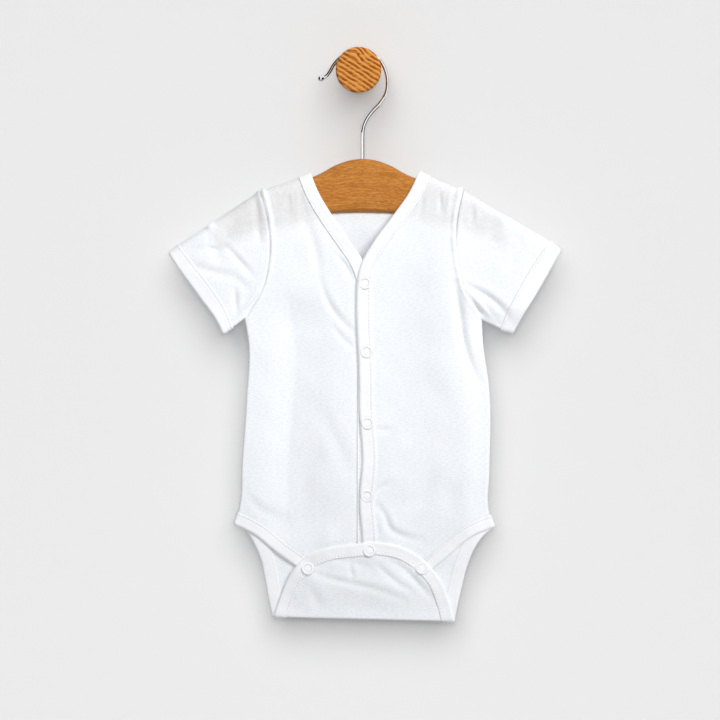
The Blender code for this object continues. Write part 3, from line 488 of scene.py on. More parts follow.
def spread(curve, pace, start=(0.0,), end=(0.0,)):
    """Points of a curve at close steps from its ends and paces between them."""
    return pick(curve, places(curve, pace, start, end))


def spread_count(curve, count, start=(0.0,), end=(0.0,)):
    """The same with a given number of even steps."""
    return pick(curve, index_at(curve, stops(lengths(curve)[-1], count, start, end)))


def offset(curve, width, first=None, last=None):
    """The curve moved sideways, to the left of its direction where the width is positive.

    Near an end it is moved along first or last instead.
    """
    width = np.broadcast_to(np.asarray(width, float), len(curve))[:, None]
    run = np.gradient(curve, axis=0)
    aside = unit(np.column_stack([-run[:, 1], run[:, 0]]) * np.where(width < 0, -1.0, 1.0))
    along = lengths(curve)
    for end, far in ((first, along), (last, along[-1] - along)):
        if end is not None:
            share = rise(far, OFFSET_EASE, 0.0)[:, None]
            aside = aside * (1 - share) + unit(np.asarray(end)) * share
    return curve + unit(aside) * np.abs(width)


def bend_steps(radius, count):
    """Distances from an edge that divide a quarter bend evenly."""
    return tuple(radius * (1.0 - math.cos(math.pi / 2 * i / count)) for i in range(count + 1))


def coons(top, bottom, left, right):
    """A grid of points, rows from top to bottom, filled in between four edges that share their corners."""
    u = (lengths(top) / lengths(top)[-1] + lengths(bottom) / lengths(bottom)[-1])[None, :, None] / 2
    v = (lengths(left) / lengths(left)[-1] + lengths(right) / lengths(right)[-1])[:, None, None] / 2
    across = (1 - v) * top[None] + v * bottom[None]
    down = (1 - u) * left[:, None] + u * right[:, None]
    corners = (1 - u) * ((1 - v) * top[0] + v * bottom[0]) + u * ((1 - v) * top[-1] + v * bottom[-1])
    return across + down - corners


def nearest(points, line):
    """Distance from each point to a polyline, on which side it lies (above 0: left), and how far along."""
    along = lengths(line)
    best = np.full(points.shape[:-1], NOWHERE)
    side = np.zeros_like(best)
    share = np.zeros_like(best)
    for a, way, start, size in zip(line[:-1], np.diff(line, axis=0), along, np.diff(along)):
        t = np.clip(((points - a) @ way) / (way @ way), 0.0, 1.0)
        away = points - a - t[..., None] * way
        far = np.linalg.norm(away, axis=-1)
        nearer = far < best
        best = np.where(nearer, far, best)
        side = np.where(nearer, way[0] * away[..., 1] - way[1] * away[..., 0], side)
        share = np.where(nearer, (start + t * size) / along[-1], share)
    return best, side, share


def distance(points, line):
    """Distance from each point to a polyline."""
    return nearest(points, line)[0]


# ---------------- the garment's form

SIGN = {"right": -1.0, "left": 1.0}
RIDGE = {s: np.array([NECK_POINT[s], ARMHOLE[s][0], CUFF_SEAM[s][0], CUFF_EDGE[s][0]]) for s in SIGN}
SIDE_LINE = {s: spline(SIDE[s], 4.0) for s in SIGN}
UNDERARM = {s: np.array([SIDE[s][0], CUFF_SEAM[s][-1], CUFF_EDGE[s][-1]]) for s in SIGN}
FOLD_STEP = 6.0  # of the polylines that stand for the folds' runs


def bend(far, radius):
    """Height of a quarter round at a distance from its edge."""
    return np.sqrt(np.maximum(radius**2 - (radius - np.minimum(far, radius)) ** 2, 0.0))


def from_outline(points):
    """Distances in the front view from the shoulder seams and from the sides."""
    ridge = np.minimum(distance(points, RIDGE["right"]), distance(points, RIDGE["left"]))
    side = np.minimum.reduce([distance(points, line[s]) for line in (SIDE_LINE, UNDERARM) for s in SIGN])
    return ridge, side


def half_depth(points):
    """Distance of the cloth from the garment's middle, at points of the front view."""
    ridge, side = from_outline(points)
    x, z = points[..., 0], points[..., 1]
    swell = SIDE_ROUND + (BODY_DEPTH - SIDE_ROUND) * smooth(side / SWELL_OVER)
    plain = bend(side, SIDE_ROUND) / SIDE_ROUND * swell
    rolled = bend(side, ROLL_ROUND) / ROLL_ROUND * (ROLL_DEPTH - ROLL_FALL * straight(side, 0.0, ROLL_OVER))
    share = rise(z, *ROLL_TOP_Z) * rise(z, *ROLL_FOOT_Z) * straight(x, *ROLL_X)
    by_side = np.maximum(plain + (rolled - plain) * share, FLAT_EDGE)
    by_ridge = np.maximum(bend(ridge, SHOULDER_ROUND), FLAT_EDGE)
    depth = (by_side**-BLEND_POWER + by_ridge**-BLEND_POWER) ** (-1.0 / BLEND_POWER)
    rows = np.array(DEPTH_ROWS[1:])[::-1]
    depth = depth * np.interp(z, rows[:, 0], rows[:, 1])
    thin = rise(np.abs(x - HANGER_X), *SLEEVE_FLAT_X)
    return depth * (1.0 - (1.0 - SLEEVE_FLAT_SHARE) * thin)


def rear_depth(points):
    """Distance of the back from the garment's middle: forward at the seat and inside the neck."""
    depth = half_depth(points)
    x, z = points[..., 0], points[..., 1]
    seat = rise(z, *SEAT_Z)
    depth = depth * (1.0 - seat) + (np.minimum(2.0 * depth, SEAT_GAP) - depth) * seat
    nape = rise(np.abs(x - HANGER_X), *NAPE_X) * hump(z, *NAPE_Z)
    return depth - NAPE_FORWARD * nape


def top_lift(points):
    """How far the left front stands before the right one, which it covers at the placket."""
    return LAYER * rise(points[..., 0], *OVER_X) * rise(points[..., 1], *OVER_Z)


def flap_lift(points):
    """How far the flap stands before the right front, over the left front too where that one is."""
    x = points[..., 0]
    inner = rise(x, *FLAP_SIDES["right"]) * rise(x, *FLAP_SIDES["left"])
    lift = LAYER * (FLAP_SIDE_SHARE + (1.0 - FLAP_SIDE_SHARE) * inner)
    lift = lift + LAYER * rise(x, *FLAP_STEP_X) * rise(x, *OVER_X)
    return lift * (1.0 - FLAP_SINK * rise(points[..., 1], *FLAP_SINK_Z))


LIFTS = {"under": lambda p: 0.0 * p[..., 0], "top": top_lift, "flap": flap_lift}


def fold_height(points, run, height, widths, roll=0.0):
    """One fold: how far it stands out at points of the front view."""
    far, side, share = nearest(points, spline(run, FOLD_STEP))
    width = widths[0] + (widths[1] - widths[0]) * share
    fade = FOLD_END_SHARE + (1.0 - FOLD_END_SHARE) * np.sin(math.pi * share)
    aside = np.copysign(far, side) * math.copysign(1.0, roll)
    ridge = np.exp(-2.0 * ((aside - FOLD_ROLL_AT * width) / width) ** 2)
    return fade * (height * np.exp(-2.0 * (far / width) ** 2) + abs(roll) * ridge)


def relief(points, sheet):
    """How far the folds and small ripples of one sheet stand out at points of the front view."""
    up = np.zeros(points.shape[:-1])
    for fold in FOLDS[sheet]:
        up += fold_height(points, *fold)
    for direction, height, length, phase in RIPPLES[1:]:
        angle = math.radians(direction)
        along = points @ (math.cos(angle), math.sin(angle))
        up += waves(along, [(height, length, phase + RIPPLE_SHIFT[sheet])])
    ridge, side = from_outline(points)
    up = up * smooth(np.minimum(ridge, side) / FOLD_FADE)
    if sheet == "flap":
        for row, lean in SNAP_TILT.items():
            away = points - SNAPS[row + 1][:2]
            up -= lean * away[..., 1] * np.exp(-((away**2).sum(axis=-1)) / SNAP_TILT_SPREAD**2)
    return up


def front(points, layer="under"):
    """Front view points on the front of the garment, in space."""
    points = np.asarray(points, float)
    folds = relief(points, "flap" if layer == "flap" else "front")
    depth = np.maximum(half_depth(points) + folds, hanger_room(points))
    return np.stack([points[..., 0], MID_Y - depth - LIFTS[layer](points), points[..., 1]], axis=-1)


def bar_edges(out):
    """Heights of the bar's top and bottom at distances out from the hanger's middle."""
    rows = np.array(BAR_ROWS[1:])
    return [np.interp(out, rows[:, 0], rows[:, column]) for column in (1, 2)]


def hanger_room(points):
    """Least distance of the cloth from the garment's middle, where the hanger lies under it."""
    out = np.abs(points[..., 0] - HANGER_X)
    top, bottom = bar_edges(out)
    height = points[..., 1]
    over = rise(bottom - height, *ROOM_BELOW) * rise(out - BAR_END, *ROOM_PAST)
    return over * ROOM * rise(top - height, *ROOM_OVER)


def behind(points):
    """Front view points on the back of the garment, in space."""
    return np.stack([points[..., 0], MID_Y + back_depth(points), points[..., 1]], axis=-1)


def back_depth(points):
    """Distance of the back from the garment's middle, with its folds, clear of the hanger's lower edge."""
    out = np.abs(points[..., 0] - HANGER_X)
    above = np.clip(points[..., 1] - bar_edges(out)[1], -1.0, HANGER_ROUND)
    bar = HANGER_THICK / 2 - HANGER_ROUND + BAR_CLEAR + bend(np.maximum(above, 0.0), HANGER_ROUND)
    near = (above >= 0.0) * rise(out, *BAR_CLEAR_X)
    depth = rear_depth(points)
    pushed = np.maximum(depth, np.minimum(bar, depth + BAR_PUSH) * near)
    return np.where(near > 0.0, pushed, depth) + relief(points, "back")


def fold_shape(x):
    """The fold under the crotch at each x: its lowest z, its radius and its middle y."""
    low = FOLD_Z + FOLD_SLOPE * x
    near = np.stack([x, low + FOLD_LOOK], axis=-1)
    depth = rear_depth(near)
    ahead = half_depth(near) + flap_lift(near)
    return low, (depth + ahead) / 2, MID_Y + (depth - ahead) / 2


def fold_line(x):
    """Where the fold's middle lies on the unrolled cloth."""
    low, radius, _ = fold_shape(x)
    return low + radius * (FOLD_FLAT - math.pi / 2)


def unroll(points):
    """Front view points of the flap, on the unrolled back."""
    points = np.asarray(points, float)
    return np.column_stack([points[:, 0], 2 * fold_line(points[:, 0]) - points[:, 1]])


def back(points):
    """Points x, q of the unrolled back in space: q is z down to the fold, and runs on up the flap."""
    points = np.asarray(points, float)
    x, q = points[..., 0], points[..., 1]
    low, radius, middle = fold_shape(x)
    past = q - fold_line(x)
    quarter = radius * math.pi / 2
    turn = np.clip(past / quarter, -1.0, 1.0) * math.pi / 2
    beyond = np.maximum(np.abs(past) - quarter, 0.0)
    z = low + radius * FOLD_FLAT * (1.0 - np.cos(turn)) + beyond
    here = np.stack([x, z], axis=-1)
    eased = rise(beyond, 0.0, FOLD_EASE)
    behind_y = MID_Y + back_depth(here) + (eased - 1.0) * relief(here, "back")
    flap_y = MID_Y - half_depth(here) - flap_lift(here) - eased * relief(here, "flap")
    y = np.where(past > 0, behind_y, flap_y)
    y = np.where(np.abs(past) < quarter, middle + radius * np.sin(turn), y)
    return np.stack([x, y, z], axis=-1)


# ---------------- meshes and objects


def mesh_from(name, points, faces, uv=None):
    """A mesh in metres from points in millimetres, its faces all turned outwards."""
    mesh = bpy.data.meshes.new(name)
    mesh.from_pydata((np.asarray(points) * MM).tolist(), [], [list(face) for face in faces])
    if uv is not None:
        layer = mesh.uv_layers.new(name="cut")
        layer.data.foreach_set("uv", (np.asarray(uv, float) * UV_MM).ravel())
    work = bmesh.new()
    work.from_mesh(mesh)
    bmesh.ops.recalc_face_normals(work, faces=work.faces)
    work.to_mesh(mesh)
    work.free()
    mesh.shade_smooth()
    return mesh


def linked(name, data):
    """A new object in the scene."""
    made = bpy.data.objects.new(name, data)
    bpy.context.scene.collection.objects.link(made)
    return made


def piece(name, mesh, finishes, slot, *nodes):
    """A piece of the object with its materials, which rides on the body and stands for CAD nodes."""
    made = linked(name, mesh)
    for finish in finishes:
        mesh.materials.append(finish)
    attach(made, "root")
    if nodes:
        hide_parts(*nodes)
    return made


def grid_faces(rows, columns, ring=False):
    """Quads of a grid of points, closed from its last column to its first one if it is a ring."""
    r, c = np.meshgrid(np.arange(rows - 1), np.arange(columns if ring else columns - 1), indexing="ij")
    after = (c + 1) % columns
    quads = [r * columns + c, r * columns + after, (r + 1) * columns + after, (r + 1) * columns + c]
    return np.stack(quads, axis=-1).reshape(-1, 4)


def normals_of(grid):
    """Unit normals of a grid of points in space."""
    down, across = np.gradient(grid, axis=(0, 1))
    return unit(np.cross(across, down))


def from_edge(grid, edge):
    """Distance over the cloth of each point of a grid from its first or last row or column."""
    axis = 0 if edge.endswith("row") else 1
    step = np.linalg.norm(np.diff(grid, axis=axis), axis=2)
    run = np.cumsum(step, axis=axis)
    run = np.concatenate([np.zeros_like(run.take([0], axis)), run], axis=axis)
    return run if edge.startswith("first") else run.take([-1], axis) - run


def painted_wood_shade(grid):
    """How much painted shade each point of a front or sleeve gets, where the hanger lies behind it and shows
    through its cloth.
    """
    out = np.abs(grid[..., 0] - HANGER_X)
    top, bottom = bar_edges(out)
    height = grid[..., 2] + waves(out, WOOD_WAVER)
    shade = rise((height - top) / SOFT_EDGE, *WOOD_TOP) * rise((bottom - height) / SOFT_EDGE, *WOOD_BOTTOM)
    return shade * rise(out - BAR_END, *WOOD_PAST) * (grid[..., 1] < MID_Y)


def shell(name, grid, flat, slot, *nodes, wood=1.0):
    """A grid of points as a thin shell of cloth.

    The wood is how strongly the painted shade of the hanger showing through is laid on at each point.
    """
    uv = np.asarray(flat, float).reshape(-1, 2)
    faces = grid_faces(*grid.shape[:2])
    mesh = mesh_from(name, grid.reshape(-1, 3), faces, uv[faces].reshape(-1, 2))
    # the painted shade where the hanger shows through goes to the jersey's material as a point attribute
    if slot == "jersey":
        shade = mesh.attributes.new("painted_wood_shade", "FLOAT", "POINT")
        shade.data.foreach_set("value", (painted_wood_shade(grid) * wood).ravel())
    thick, finish = {"jersey": (JERSEY, JERSEY_FINISH), "binding": (FOLDED, BINDING_FINISH)}[slot]
    made = piece(name, mesh, [finish], slot, *nodes)
    wall = made.modifiers.new("Wall", "SOLIDIFY")
    wall.thickness = thick * MM
    wall.offset = 0.0
    width = float(from_edge(grid, "first_column").max()) * MM
    length = float(from_edge(grid, "first_row").max()) * MM
    return made


# ---------------- seams

# Depth and width of the valley along a seam between two panels
CREASE = 0.5
CREASE_WIDTH = 0.9

# Seam allowances: where their ridge starts, where along its width it is highest, and waves of its height
ALLOWANCE_IN = 0.5
ALLOWANCE_TOP = 0.45
ALLOWANCE_UNEVEN = [(0.25, 23.0, 0.0), (0.15, 9.1, 1.0)]

# Gathers along stitched seams: their pitch, waves of their phase, and height and reach at each kind of seam
PUCKER_PITCH = 7.3
PUCKER_WANDER = [(1.8, 61.0, 0.0)]
PUCKER_START = 1.5
AT_SEAM = (0.12, 6.0)
AT_BINDING = (0.14, 5.0)
AT_FLAP_END = (0.16, 5.0)
AT_SLEEVE = (0.12, 5.0)

# How far a panel is pressed down at its binding, and how far from it
PRESS = 0.25
PRESS_REACH = 1.6

AT_MIDDLE = 0.2  # a point this close to the garment's middle lies on a shoulder or side seam
ARMHOLE_FADE = 12.0  # height over which an armhole's seam gives way to the side seam
HIP_FADE = 2.0


def valley(far):
    """The rolled-in edge of a panel at its seam."""
    return -CREASE * np.exp(-((far / CREASE_WIDTH) ** 2))


def allowance(far, along, width, height):
    """The seam allowance inside, which shows as a low ridge beside the seam, a little uneven."""
    uneven = 1.0 + waves(along, ALLOWANCE_UNEVEN)
    return height * uneven * hump(far, ALLOWANCE_IN, width * ALLOWANCE_TOP, width)


def pucker(far, along, height, reach):
    """Short gathers square to a stitched seam, which fade out over their reach."""
    wave = np.sin(along * TURN / PUCKER_PITCH + waves(along, PUCKER_WANDER))
    return height * wave * np.exp(-far / reach) * rise(far, 0.0, PUCKER_START)


def gathers(far, along, height, reach):
    """The same along a binding, from where the panel comes out of it."""
    return pucker(np.maximum(far - TUCK, 0.0), along, height, reach)


def pressed(far):
    """How far a panel is pressed down at its binding."""
    return PRESS * np.exp(-np.maximum(far - TUCK, 0.0) / PRESS_REACH)


def on_armhole(grid, side):
    """1 at the height of an armhole and 0 at that of the side seam below it."""
    end = ARMHOLE[side][-1][1]
    return rise(grid[..., 2], end, end + ARMHOLE_FADE)


def displaced(grid, up, towards):
    """The grid moved along its normals, which point to -Y for a front and to +Y for a back.

    Where an edge lies in the garment's middle, at a shoulder or side seam, it moves within that middle.
    """
    normal = normals_of(grid)
    normal = normal * np.sign((normal[..., 1] * towards).sum())
    seam = np.ones(grid.shape[:2], bool)
    seam[1:-1, 1:-1] = False
    seam &= np.abs(grid[..., 1] - MID_Y) < AT_MIDDLE
    normal[seam, 1] = 0.0
    return grid + unit(normal) * up[..., None]


# ---------------- cloth panels

TOP_STEPS = bend_steps(SHOULDER_ROUND, 8)
SIDE_STEPS = bend_steps(SIDE_ROUND, 6)
SEAM_STEPS = (0.0, 0.3, 0.7, 1.2, 2.0, 3.0)
PACE = 1.9
LAYER_OF = {"right": "under", "left": "top"}  # of the two fronts
FOLD_ROWS = 25
LEG_ROWS = 34
FLAP_ROWS = 20

# Widths and heights of the seam allowances. An armhole has the first at its foot and the second more on top.
ARMHOLE_ALLOWANCE = (4.0, 0.7)
ARMHOLE_TOP_MORE = (3.2, 0.7)
SIDE_ALLOWANCE = (3.2, 0.12)
SHOULDER_ALLOWANCE = (5.0, 0.2)
BACK_ALLOWANCE = (3.4, 0.15)
BACK_ARMHOLE_MORE = 0.2
BACK_ARMHOLE = (0.5, 2.0, 5.0)  # where its ridge starts, is highest and ends

# The sleeve's head, which stands out from the armhole: height, width, and heights between which it comes up
SLEEVE_HEAD = 1.5
SLEEVE_HEAD_WIDTH = 3.6
SLEEVE_HEAD_Z = (-158.0, -130.0)


def placket_width(curve):
    """Width of the neck binding along the left front: wider once it has come down to the placket."""
    return BAND_WIDTH + (PLACKET_WIDTH - BAND_WIDTH) * rise(curve[:, 1], *PLACKET_EASE)


def along_ridge(side):
    """Direction from the neck point down the shoulder seam."""
    return RIDGE[side][1] - RIDGE[side][0]


def up_side(side):
    """Direction from the hip corner up the side seam."""
    return np.subtract(SIDE[side][-2], SIDE[side][-1])


def neck_edge(side):
    """A front's neck and placket edge: its free line, its binding's signed width, its ends' directions."""
    free = spline(V_EDGE[side])
    width = placket_width(free) if side == "left" else np.full(len(free), -BAND_WIDTH)
    return free, width, along_ridge(side), None


def leg_edge(side):
    """The same for a front's leg edge, from the hip corner to the placket's edge."""
    free = spline(FRONT_LEG[side])
    return free, np.full(len(free), -SIGN[side] * BAND_WIDTH), up_side(side), None


def back_neck_edge():
    """The same for the back neck, from the right neck point to the left one."""
    free = spline(BACK_NECK)
    return free, np.full(len(free), -BAND_WIDTH), along_ridge("right"), along_ridge("left")


def back_edge():
    """The same for the back's edge from one hip round the unrolled flap to the other hip."""
    free = spline(np.vstack([BACK_LEG["right"], unroll(FLAP_EDGE), BACK_LEG["left"][::-1]]))
    return free, np.full(len(free), BAND_WIDTH), up_side("right"), up_side("left")


def inside(edge, reach):
    """The line at a distance from a bound edge's free line, which may differ along it."""
    free, width, first, last = edge
    return offset(free, np.sign(width) * reach, first, last)


def cloth_line(edge):
    """Where the cloth ends inside its binding."""
    return inside(edge, np.abs(edge[1]) - TUCK)


def outer_edge(side, hip):
    """A panel's edge down the armhole and then the side seam, as far as the point at the hip."""
    seam = spline(SIDE[side])
    seam = np.vstack([seam[seam[:, 1] > hip[1] + 1.0], hip])
    upper = spread(spline(ARMHOLE[side]), PACE, TOP_STEPS, SIDE_STEPS)
    return np.vstack([upper, spread(seam, PACE, SEAM_STEPS)[1:]])


def front_grid(side):
    """One front in the front view, between shoulder, armhole and side, neck seam and leg seam."""
    leg = cloth_line(leg_edge(side))
    neck = cloth_line(neck_edge(side))
    inwards = -SIGN[side]
    corner = neck[-1, 0]
    last = float(np.interp(inwards * corner, inwards * leg[:, 0], np.arange(len(leg))))
    hem = pick(leg, between(leg, 0.0, last, round(abs(corner - leg[0, 0]) / PACE), SIDE_STEPS))
    outer = outer_edge(side, hem[0])
    share = lengths(outer) / lengths(outer)[-1]
    inner = pick(neck, index_at(neck, share * lengths(neck)[-1]))
    inner[-1] = hem[-1]
    shoulder = spread_count(np.array([outer[0], inner[0]]), len(hem) - len(SIDE_STEPS), SIDE_STEPS)
    return coons(shoulder, hem, outer, inner)


def front_relief(grid, side):
    """Seams of a front: armhole and side at its first column, shoulder at its first row, then bindings."""
    far = from_edge(grid, "first_column")
    along = from_edge(grid, "first_row")
    armhole = on_armhole(grid, side)
    top = rise(grid[..., 2], ARMHOLE[side][-1][1], ARMHOLE[side][0][1])
    width, height = (low + more * top for low, more in zip(ARMHOLE_ALLOWANCE, ARMHOLE_TOP_MORE))
    up = valley(far) + valley(along)
    up += armhole * allowance(far, along, width, height)
    up += (1.0 - armhole) * allowance(far, along, *SIDE_ALLOWANCE)
    up += pucker(far, along, *AT_SEAM)
    up += allowance(along, far, *SHOULDER_ALLOWANCE)
    for edge, other in (("last_column", along), ("last_row", far)):
        from_binding = from_edge(grid, edge)
        up += gathers(from_binding, other, *AT_BINDING) - pressed(from_binding)
    return up


def front_panel(side):
    flat = front_grid(side)
    grid = front(flat, LAYER_OF[side])
    grid = displaced(grid, front_relief(grid, side), -1.0)
    # painted shade of the hanger showing through, fading in from the armhole
    wood = rise(from_edge(grid, "first_column"), *WOOD_FROM_SEAM) * WOOD_SHADE_SHARE[side]
    return shell(f"{side}_front", grid, flat, "jersey", f"front_{side}", wood=wood)


def back_panel():
    """The back with its crotch flap, one cut that folds at the foot and comes up in front."""
    line = cloth_line(back_edge())
    index = np.arange(len(line))
    half = int(np.argmin(line[:, 1]))
    past = line[:, 1] - fold_line(line[:, 0])
    levels = np.linspace(FOLD_REACH, -FOLD_REACH, FOLD_ROWS)
    fold = {
        "right": np.interp(-levels, -past[:half], index[:half]),
        "left": np.interp(levels[::-1], past[half:], index[half:])[::-1],
    }
    hip = {"right": 0.0, "left": float(index[-1])}
    corner = dict(zip(SIGN, np.interp(FLAP_CORNER_X, line[:, 0], index)))
    leg = {s: pick(line, between(line, hip[s], fold[s][0], LEG_ROWS, SIDE_STEPS)) for s in SIGN}
    outer = {s: np.vstack([outer_edge(s, leg[s][0]), leg[s][1:]]) for s in SIGN}
    rows = max(len(outer[s]) for s in SIGN)
    right, left = (even_rows(outer[s], rows) for s in SIGN)
    neck = spread(cloth_line(back_neck_edge()), PACE, TOP_STEPS, TOP_STEPS)
    shoulders = (
        spread(np.array([right[0], neck[0]]), PACE, SIDE_STEPS),
        spread(np.array([neck[-1], left[0]]), PACE, (0.0,), SIDE_STEPS),
    )
    top = np.vstack([shoulders[0][:-1], neck, shoulders[1][1:]])
    middle = len(top) - 1 - 2 * (len(SIDE_STEPS) - 1)

    def row(*ends):
        """Points straight across between two points, closer together at the edges."""
        return spread_count(np.array(ends), middle, SIDE_STEPS, SIDE_STEPS)

    upper = coons(top, row(right[-1], left[-1]), right, left)
    turn = np.array([row(*ends) for ends in zip(*(pick(line, fold[s]) for s in SIGN))])
    sides = [pick(line, between(line, fold[s][-1], corner[s], FLAP_ROWS)) for s in SIGN]
    end = pick(line, between(line, *corner.values(), len(top) - 1))
    lower = coons(turn[-1], end, *sides)
    flat = np.concatenate([upper, turn[1:], lower[1:]])
    grid = back(flat)
    grid = displaced(grid, back_relief(grid, len(upper)), 1.0)
    return shell("back_and_flap", grid, flat, "jersey", "back_panel")


def even_rows(line, rows):
    """A polyline with points added in its longest steps until it has the wanted number of points."""
    while len(line) < rows:
        step = np.linalg.norm(np.diff(line, axis=0), axis=1)
        widest = int(np.argmax(step))
        line = np.insert(line, widest + 1, (line[widest] + line[widest + 1]) / 2, axis=0)
    return line


def back_relief(grid, upper_rows):
    """Seams of the back: armholes and sides at both columns, shoulders and neck at the first row."""
    up = np.zeros(grid.shape[:2])
    along = from_edge(grid, "first_row")
    for edge, side in (("first_column", "right"), ("last_column", "left")):
        far = from_edge(grid, edge)
        hip = SIDE[side][-1][1]
        on_leg = rise(grid[..., 2], hip + HIP_FADE, hip - HIP_FADE)
        on_leg[upper_rows:] = 1.0
        seam = valley(far) + allowance(far, along, *BACK_ALLOWANCE)
        seam += on_armhole(grid, side) * BACK_ARMHOLE_MORE * hump(far, *BACK_ARMHOLE)
        up += (1.0 - on_leg) * seam + pucker(far, along, *AT_SEAM) - on_leg * pressed(far)
    across = from_edge(grid, "first_column")
    up += valley(along) * (np.abs(grid[0, :, 1] - MID_Y) < AT_MIDDLE)[None]
    up += gathers(along, across, *AT_BINDING)
    flap_end = from_edge(grid, "last_row")
    return up + gathers(flap_end, across, *AT_FLAP_END) - pressed(flap_end)


def sleeve_edges(side):
    """Points of a sleeve's armhole, cuff seam and cuff edge in the front view, equal in number."""
    armhole = spread(spline(ARMHOLE[side]), PACE, TOP_STEPS, SIDE_STEPS)
    middle = len(armhole) - len(TOP_STEPS) - len(SIDE_STEPS) + 1
    cuffs = (spline(rows[side]) for rows in (CUFF_SEAM, CUFF_EDGE))
    return armhole, *(spread_count(cuff, middle, TOP_STEPS, SIDE_STEPS) for cuff in cuffs)


def sleeve_flat(side):
    """A sleeve in the front view: rows from the shoulder to the underarm, columns from armhole to cuff."""
    armhole, cuff_seam, cuff_free = sleeve_edges(side)
    cuff = cuff_seam + unit(cuff_free - cuff_seam) * TUCK
    count = round(lengths(np.array([armhole[0], cuff[0]]))[-1] / PACE)
    top, under = (spread_count(np.array([armhole[end], cuff[end]]), count, SEAM_STEPS) for end in (0, -1))
    return coons(top, under, armhole, cuff)


def round_sleeve(flat):
    """Front view rows all round a sleeve in space: up its front from the underarm and down its back."""
    return np.concatenate([front(flat[::-1]), behind(flat[1:])])


def sleeve_relief(grid):
    """Seams of a sleeve: armhole at its first column, underarm at both end rows, cuff at its last column."""
    far = from_edge(grid, "first_column")
    along = from_edge(grid, "first_row")
    cuff = from_edge(grid, "last_column")
    up = valley(far) + valley(along) + valley(from_edge(grid, "last_row"))
    up += SLEEVE_HEAD * np.exp(-((far / SLEEVE_HEAD_WIDTH) ** 2)) * rise(grid[..., 2], *SLEEVE_HEAD_Z)
    return up + pucker(far, along, *AT_SLEEVE) + gathers(cuff, along, *AT_SLEEVE) - pressed(cuff)


def sleeve(side):
    flat = sleeve_flat(side)
    grid = round_sleeve(flat)
    up = sleeve_relief(grid)
    half = len(flat) - 1
    fronts = displaced(grid[: half + 1], up[: half + 1], -1.0)
    backs = displaced(grid[half:], up[half:], 1.0)
    grid = np.concatenate([fronts, backs[1:]])
    way = unit(RIDGE[side][2] - RIDGE[side][1])
    along_sleeve = np.stack([flat @ np.array([-way[1], way[0]]), flat @ way], axis=-1)
    cut = np.concatenate([along_sleeve[::-1], 2 * along_sleeve[:1] * (1, 0) + along_sleeve[1:] * (-1, 1)])
    # the sleeve gets the painted shade of the hanger showing through at its side's share
    return shell(f"{side}_sleeve", grid, cut, "jersey", f"sleeve_{side}", wood=WOOD_SHADE_SHARE[side])


# ---------------- bindings and stitches


def reach_of(row, width, stitch_in):
    """Distance of a section's point from the free line."""
    edge, past, _ = row
    start = {"free": 0.0, "stitch": width - stitch_in, "seam": width}[edge]
    return start + past


def binding(name, sheet_at, up_sign, node, stitch, ends=(None, None)):
    """A strip of jersey folded over an edge, with its stitches.

    sheet_at gives the line in space at each row of the section, and the whole is one open, U-shaped sheet.
    The ends are the strip's directions there, where an end lies in the garment's middle.
    """
    rows = OUTER_FACE[1:] + INNER_FACE[1:]
    lines = np.stack([sheet_at(row) for row in rows], axis=1)
    seam = lines[:, 0]
    free = lines[:, len(OUTER_FACE) - 2]
    across = seam - free
    run = np.gradient((seam + free) / 2, axis=0)
    for station, direction in zip((0, -1), ends):
        if direction is not None:
            run[station] = direction
    up = unit(np.cross(across, run) * up_sign)
    along = lengths((seam + free) / 2)
    heights = np.array([row[2] for row in rows]) * (1.0 + waves(along, BAND_UNEVEN))[:, None]
    grid = lines + up[:, None] * heights[..., None]
    section = lengths(grid[len(grid) // 2])
    cut = np.stack(np.broadcast_arrays(section[None], along[:, None]), axis=-1)
    made = shell(name, grid, cut, "binding", node)
    column = [row[:2] for row in rows].index(("stitch", 0.0))
    stitches(f"{name}_stitches", grid[:, column] + up * FOLDED / 2, up, across, *stitch)
    return made


STITCH_RINGS = [
    ("along", "round", "up"),
    (-1.0, 0.3, -0.5), (-0.72, 0.85, 0.1), (0.0, 1.0, 0.35), (0.72, 0.85, 0.1), (1.0, 0.3, -0.5),
]
STITCH_SIDES = 6
STITCH_RADIUS = 0.42
STITCH_SHARE = 0.72  # of the pitch that shows as thread
FLAP_STITCH_SLANT = 0.5  # radians
FLAP_STITCH_THICK = 1.5
# Needle holes: small dark fans of painted shadow
HOLE_SIDES = 6
HOLE_SIZE = (0.575, 0.425, -0.025)  # half its length, half its width, and the height of its rim
HOLE_MIDDLE_UP = 0.12


def thread_shape(pitch, thick):
    """One raised thread: its points along, across and up, and its faces."""
    points = []
    for along, size, lift in STITCH_RINGS[1:]:
        radius = STITCH_RADIUS * thick * size
        for turn in circle(STITCH_SIDES):
            up = radius * math.sin(turn) + lift * STITCH_RADIUS
            points.append((along * pitch * STITCH_SHARE / 2, radius * math.cos(turn), up))
    return np.array(points), grid_faces(len(STITCH_RINGS) - 1, STITCH_SIDES, ring=True)


def hole_shape(thick):
    """One needle hole, a small fan that carries a painted shadow. It is smaller between thick threads."""
    rim = [(math.cos(turn), math.sin(turn), 1.0) for turn in circle(HOLE_SIDES)]
    points = np.vstack([np.multiply(rim, HOLE_SIZE) / thick**2, [(0.0, 0.0, HOLE_MIDDLE_UP)]])
    return points, np.array([(i, (i + 1) % HOLE_SIDES, HOLE_SIDES) for i in range(HOLE_SIDES)])


def copies(shape, faces, spots, basis):
    """Points and faces of a small shape that stands at each spot in the spot's own directions."""
    points = spots[:, None] + np.einsum("pk,nkj->npj", shape, basis)
    faces = faces[None] + (np.arange(len(spots)) * len(shape))[:, None, None]
    return points.reshape(-1, 3), faces.reshape(-1, faces.shape[-1])


